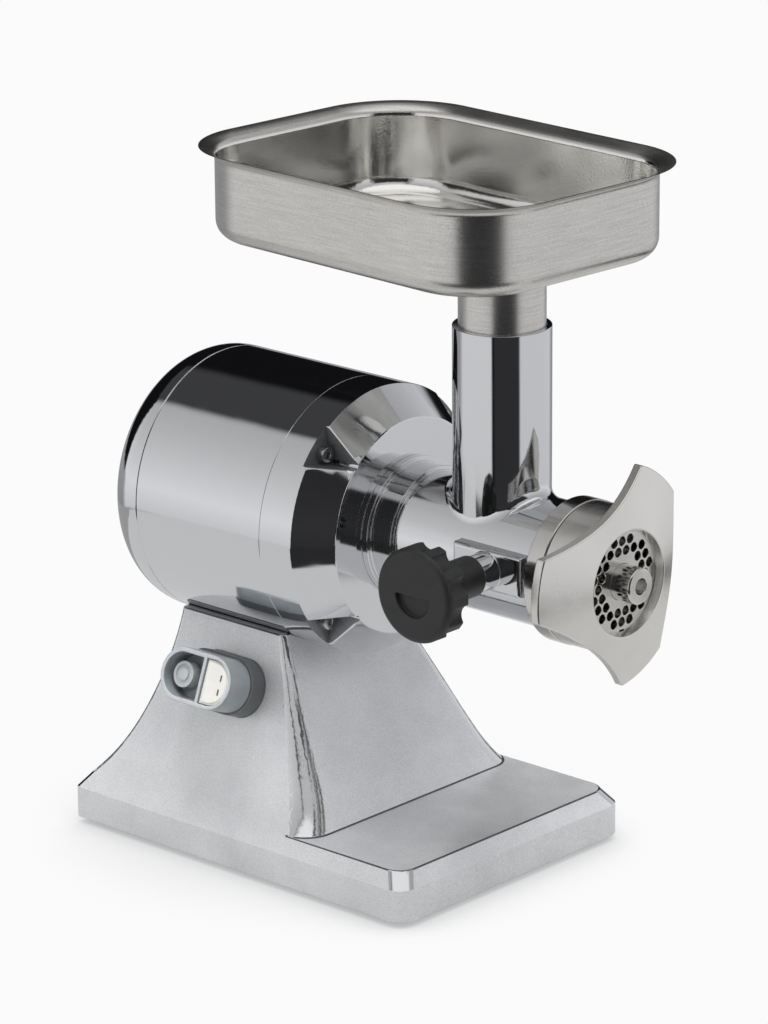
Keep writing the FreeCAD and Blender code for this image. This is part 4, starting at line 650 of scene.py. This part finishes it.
# Pale grey plastic of the stop button: the same moulding material in another colour.
pale_grey_plastic, tree = new_material("pale_grey_button_plastic")
place = add(tree, "ShaderNodeTexCoord").outputs["Object"]
cloud = add(tree, "ShaderNodeTexNoise", {"Vector": place, "Scale": scale_for(5.0), "Detail": 2.0})
tone = add(tree, "ShaderNodeMix", {0: cloud.outputs["Fac"], 6: linear("#A3A8AA"), 7: linear("#B4B8B9")},
           data_type="RGBA")
shader = add(tree, "ShaderNodeBsdfPrincipled", {"Base Color": tone.outputs[2], "Roughness": 0.32})
finish_material(tree, shader)

dress("switch_bezel", "switch_base", [dark_plastic], "housing", coarse_crease, edge=0.0008)
hood = dress("switch_hood", "switch_surround", [smoke_plastic, thin_smoke_plastic], "housing",
             coarse_crease, edge=0.0006)
start_cap = dress("start_button", "start_push_cap", [cream_plastic, dark_plastic], "start_push",
                  coarse_crease, edge=0.0003)
stop_cap = dress("stop_button", "stop_push_cap", [pale_grey_plastic], "stop_push", coarse_crease)
push = Vector(next(joint["axis"] for joint in frame["joints"] if joint["name"] == "start_press"))
outward = -push.normalized()
rim_slope = 0.9
for face in hood.data.polygons:
    if face.normal.dot(outward) > rim_slope:
        face.material_index = 1
lengthways = Vector((0.0, 1.0, 0.0))
upward = lengthways.cross(outward)
button_slope = 0.995
button_step = 0.0001


def front_faces(work):
    """Faces of a button's flat front."""
    facing = [face for face in work.faces if face.normal.dot(outward) > button_slope]
    reach = max(face.calc_center_median().dot(outward) for face in facing)
    return [face for face in facing if face.calc_center_median().dot(outward) > reach - button_step]


# The stop button's front is moulded in rings, so that a finger finds it.
work = bmesh.new()
work.from_mesh(stop_cap.data)
middle = bmesh.ops.dissolve_faces(work, faces=front_faces(work))["region"]
ring_depth = 0.0009
wall_lean = 0.0003
for width, step in ((0.0012, 0.0), (wall_lean, -ring_depth), (0.0014, 0.0), (wall_lean, ring_depth),
                    (0.0012, 0.0), (wall_lean, -ring_depth)):
    bmesh.ops.inset_region(work, faces=middle, thickness=width, depth=step, use_even_offset=True)
work.to_mesh(stop_cap.data)
work.free()

# The start button has a step round its front, and two short moulded bars in a darker plastic.
border = 0.0011
step_lean = 0.0004
step_height = 0.0005
bar_size = (0.0006, 0.0013, 0.0042, 1.0)
bar_rise = 0.0046
work = bmesh.new()
work.from_mesh(start_cap.data)
front = front_faces(work)
bmesh.ops.inset_region(work, faces=front, thickness=border, depth=0.0, use_even_offset=True)
bmesh.ops.inset_region(work, faces=front, thickness=step_lean, depth=step_height, use_even_offset=True)
spot = sum((face.calc_center_median() * face.calc_area() for face in front), Vector()) / sum(
    face.calc_area() for face in front)
turned = Matrix((outward, lengthways, upward)).transposed().to_4x4()
for rise in (-bar_rise, bar_rise):
    bar_place = Matrix.Translation(spot + upward * rise) @ turned @ Matrix.Diagonal(bar_size)
    bar = bmesh.ops.create_cube(work, size=1.0, matrix=bar_place)["verts"]
    for face in {face for corner in bar for face in corner.link_faces}:
        face.material_index = 1
work.to_mesh(start_cap.data)
work.free()

# Inside the pedestal: the contacts behind the buttons, the motor's capacitor and a terminal strip.
dress("contact_block", "contact_case", [dark_plastic], "housing")
dress("start_capacitor", "capacitor_can", [painted_sheet], "housing")
dress("terminal_block", "terminal_strip", [cream_plastic], "housing")


# Studio: a plain pale floor that fades into a white background, under soft light.
# The floor is as bright as the background, with a painted shadow that darkens it close under the machine.
# In the metal it is a table top, which ends on the camera's side, has a dark gap at the right and is dimmer
# behind.
pale = linear("#FBFBFB")
floor_radius = 0.85
floor_drop = 0.0002
floor_work = bmesh.new()
bmesh.ops.create_circle(floor_work, cap_ends=True, segments=96, radius=floor_radius)
floor_mesh = bpy.data.meshes.new("pale_floor")
floor_work.to_mesh(floor_mesh)
floor_work.free()
floor = bpy.data.objects.new("pale_floor", floor_mesh)
floor.location.z = -floor_drop
scene.collection.objects.link(floor)

pale_floor, tree = new_material("pale_floor_paint")
path = add(tree, "ShaderNodeLightPath")
# Painted shadow: ambient occlusion darkens the floor's colour close under the machine.
open_sky = add(tree, "ShaderNodeAmbientOcclusion", {"Distance": 0.16}, samples=16)
shade = add(tree, "ShaderNodeMapRange", {"Value": open_sky.outputs["AO"], "From Min": 0.0, "From Max": 0.9})
seen = add(tree, "ShaderNodeMix", {0: shade.outputs[0], 6: linear("#A9AAAB"), 7: pale}, data_type="RGBA")
place = add(tree, "ShaderNodeTexCoord").outputs["Object"]
table_edge = 0.015
strip_end = 0.02
dark = 0.0
for heading, near, far, left, depth in (
        (-138.0, 0.42, 2.0, -2.0, 1.0), (-42.0, 0.58, 0.79, -0.09, 1.0), (70.0, 0.4, 2.0, -2.0, 0.45)):
    toward = (math.cos(math.radians(heading)), math.sin(math.radians(heading)), 0.0)
    aside = (-toward[1], toward[0], 0.0)
    reach = add(tree, "ShaderNodeVectorMath", {0: place, 1: toward}, operation="DOT_PRODUCT")
    offset = add(tree, "ShaderNodeVectorMath", {0: place, 1: aside}, operation="DOT_PRODUCT")
    begun = add(tree, "ShaderNodeMapRange", {
        "Value": reach.outputs["Value"], "From Min": near - table_edge, "From Max": near + table_edge})
    ended = add(tree, "ShaderNodeMapRange", {
        "Value": reach.outputs["Value"], "From Min": far - table_edge, "From Max": far + table_edge,
        "To Min": 1.0, "To Max": 0.0})
    sided = add(tree, "ShaderNodeMapRange", {
        "Value": offset.outputs["Value"], "From Min": left - strip_end, "From Max": left + strip_end})
    between = add(tree, "ShaderNodeMath", {0: begun.outputs[0], 1: ended.outputs[0]}, operation="MULTIPLY")
    patch = add(tree, "ShaderNodeMath", {0: between.outputs[0], 1: sided.outputs[0]}, operation="MULTIPLY")
    dimmed = add(tree, "ShaderNodeMath", {0: patch.outputs[0], 1: depth}, operation="MULTIPLY")
    dark = add(tree, "ShaderNodeMath", {0: dark, 1: dimmed.outputs[0]}, operation="MAXIMUM").outputs[0]
mirrored = add(tree, "ShaderNodeMapRange", {"Value": dark, "To Min": 0.72, "To Max": 0.03})
strength = add(tree, "ShaderNodeMix", {0: path.outputs["Is Glossy Ray"], 2: 1.0, 3: mirrored.outputs[0]})
glow = add(tree, "ShaderNodeEmission", {"Color": seen.outputs[2], "Strength": strength.outputs[0]})
paint = add(tree, "ShaderNodeBsdfDiffuse", {"Color": linear("#C2C2C2")})
direct = add(tree, "ShaderNodeMath", {0: path.outputs["Is Camera Ray"], 1: path.outputs["Is Glossy Ray"]},
             operation="MAXIMUM")
shader = add(tree, "ShaderNodeMixShader", {0: direct.outputs[0], 1: paint.outputs[0], 2: glow.outputs[0]})
finish_material(tree, shader)
floor_mesh.materials.append(pale_floor)

# Room round the machine, as the metal mirrors it: tall bright screens left and right, a dark gap under a
# high screen on the camera's side, a low and two high dim screens behind, and a white ceiling.
# The rest of the room is dark, and the camera itself sees a white background.
world = bpy.data.worlds.new("studio_room")
world.use_nodes = True
scene.world = world
tree = world.node_tree
tree.nodes.clear()
direction = add(tree, "ShaderNodeTexCoord").outputs["Generated"]
split = add(tree, "ShaderNodeSeparateXYZ", {"Vector": direction})
level = add(tree, "ShaderNodeVectorMath", {0: direction, 1: (1.0, 1.0, 0.0)}, operation="MULTIPLY")
level_way = add(tree, "ShaderNodeVectorMath", {0: level.outputs[0]}, operation="NORMALIZE")
fade = add(tree, "ShaderNodeMapRange", {"Value": split.outputs["Z"], "From Min": -0.05, "From Max": 0.75,
                                        "To Min": 1.0, "To Max": 0.55})
dip = add(tree, "ShaderNodeMapRange", {"Value": split.outputs["Z"], "From Min": -0.3, "From Max": -0.02,
                                       "To Min": 0.82, "To Max": 1.0})
falloff = add(tree, "ShaderNodeMath", {0: fade.outputs[0], 1: dip.outputs[0]}, operation="MULTIPLY")
screen_edge = 0.06
room = linear("#131315")
for middle, half, soft, low, top, colour in (
        (-128.0, 30.0, 4.0, -2.0, 0.9, "#38383A"),
        (-128.0, 30.0, 4.0, 0.62, 0.95, "#FBFBFB"),
        (152.0, 44.0, 3.0, -2.0, 0.84, "#F4F4F5"),
        (-44.0, 54.0, 4.0, -2.0, 0.88, "#EDEDEF"),
        (58.0, 56.0, 6.0, -2.0, -0.02, "#A9A9AB"),
        (27.0, 21.0, 6.0, 0.56, 0.92, "#D9D9DB"),
        (84.0, 24.0, 6.0, 0.64, 0.92, "#58585A")):
    toward = (math.cos(math.radians(middle)), math.sin(math.radians(middle)), 0.0)
    facing = add(tree, "ShaderNodeVectorMath", {0: level_way.outputs[0], 1: toward},
                 operation="DOT_PRODUCT")
    across = add(tree, "ShaderNodeMapRange", {
        "Value": facing.outputs["Value"], "From Min": math.cos(math.radians(half + soft)),
        "From Max": math.cos(math.radians(half - soft))}, interpolation_type="SMOOTHSTEP")
    under = add(tree, "ShaderNodeMapRange", {
        "Value": split.outputs["Z"], "From Min": top - screen_edge, "From Max": top,
        "To Min": 1.0, "To Max": 0.0}, interpolation_type="SMOOTHSTEP")
    over = add(tree, "ShaderNodeMapRange", {
        "Value": split.outputs["Z"], "From Min": low, "From Max": low + screen_edge},
        interpolation_type="SMOOTHSTEP")
    up = add(tree, "ShaderNodeMath", {0: under.outputs[0], 1: over.outputs[0]}, operation="MULTIPLY")
    dimmed = add(tree, "ShaderNodeMath", {0: up.outputs[0], 1: falloff.outputs[0]}, operation="MULTIPLY")
    screen = add(tree, "ShaderNodeMath", {0: across.outputs[0], 1: dimmed.outputs[0]}, operation="MULTIPLY")
    lit = add(tree, "ShaderNodeMix", {0: screen.outputs[0], 6: room, 7: linear(colour)}, data_type="RGBA")
    room = lit.outputs[2]
ceiling = add(tree, "ShaderNodeMapRange", {"Value": split.outputs["Z"], "From Min": 0.8, "From Max": 0.87},
              interpolation_type="SMOOTHSTEP")
room = add(tree, "ShaderNodeMix", {0: ceiling.outputs[0], 6: room, 7: linear("#FFFFFF")},
           data_type="RGBA").outputs[2]
path = add(tree, "ShaderNodeLightPath")
shown = add(tree, "ShaderNodeMix", {0: path.outputs["Is Camera Ray"], 6: room, 7: pale}, data_type="RGBA")
background = add(tree, "ShaderNodeBackground", {"Color": shown.outputs[2], "Strength": 1.0})
add(tree, "ShaderNodeOutputWorld", {"Surface": background.outputs[0]})

# Two soft boxes: a broad one overhead, and one above the camera.
# The metal doesn't mirror them: its highlights come from the screens and the ceiling of the room.
lamp_aim = Vector((0.0, 0.0, 0.22))
for name, lamp_spot, size, power in (
        ("overhead_soft_box", Vector((0.1, 0.1, 2.3)), 1.4, 112.0),
        ("front_soft_box", Vector((-1.35, -1.9, 2.2)), 1.2, 31.0)):
    lamp_data = bpy.data.lights.new(name, "AREA")
    lamp_data.size = size
    lamp_data.energy = power
    lamp = bpy.data.objects.new(name, lamp_data)
    lamp.location = lamp_spot
    lamp.visible_glossy = False
    lamp.rotation_euler = (lamp_aim - lamp_spot).to_track_quat("-Z", "Y").to_euler()
    scene.collection.objects.link(lamp)

scene.view_settings.view_transform = "Standard"
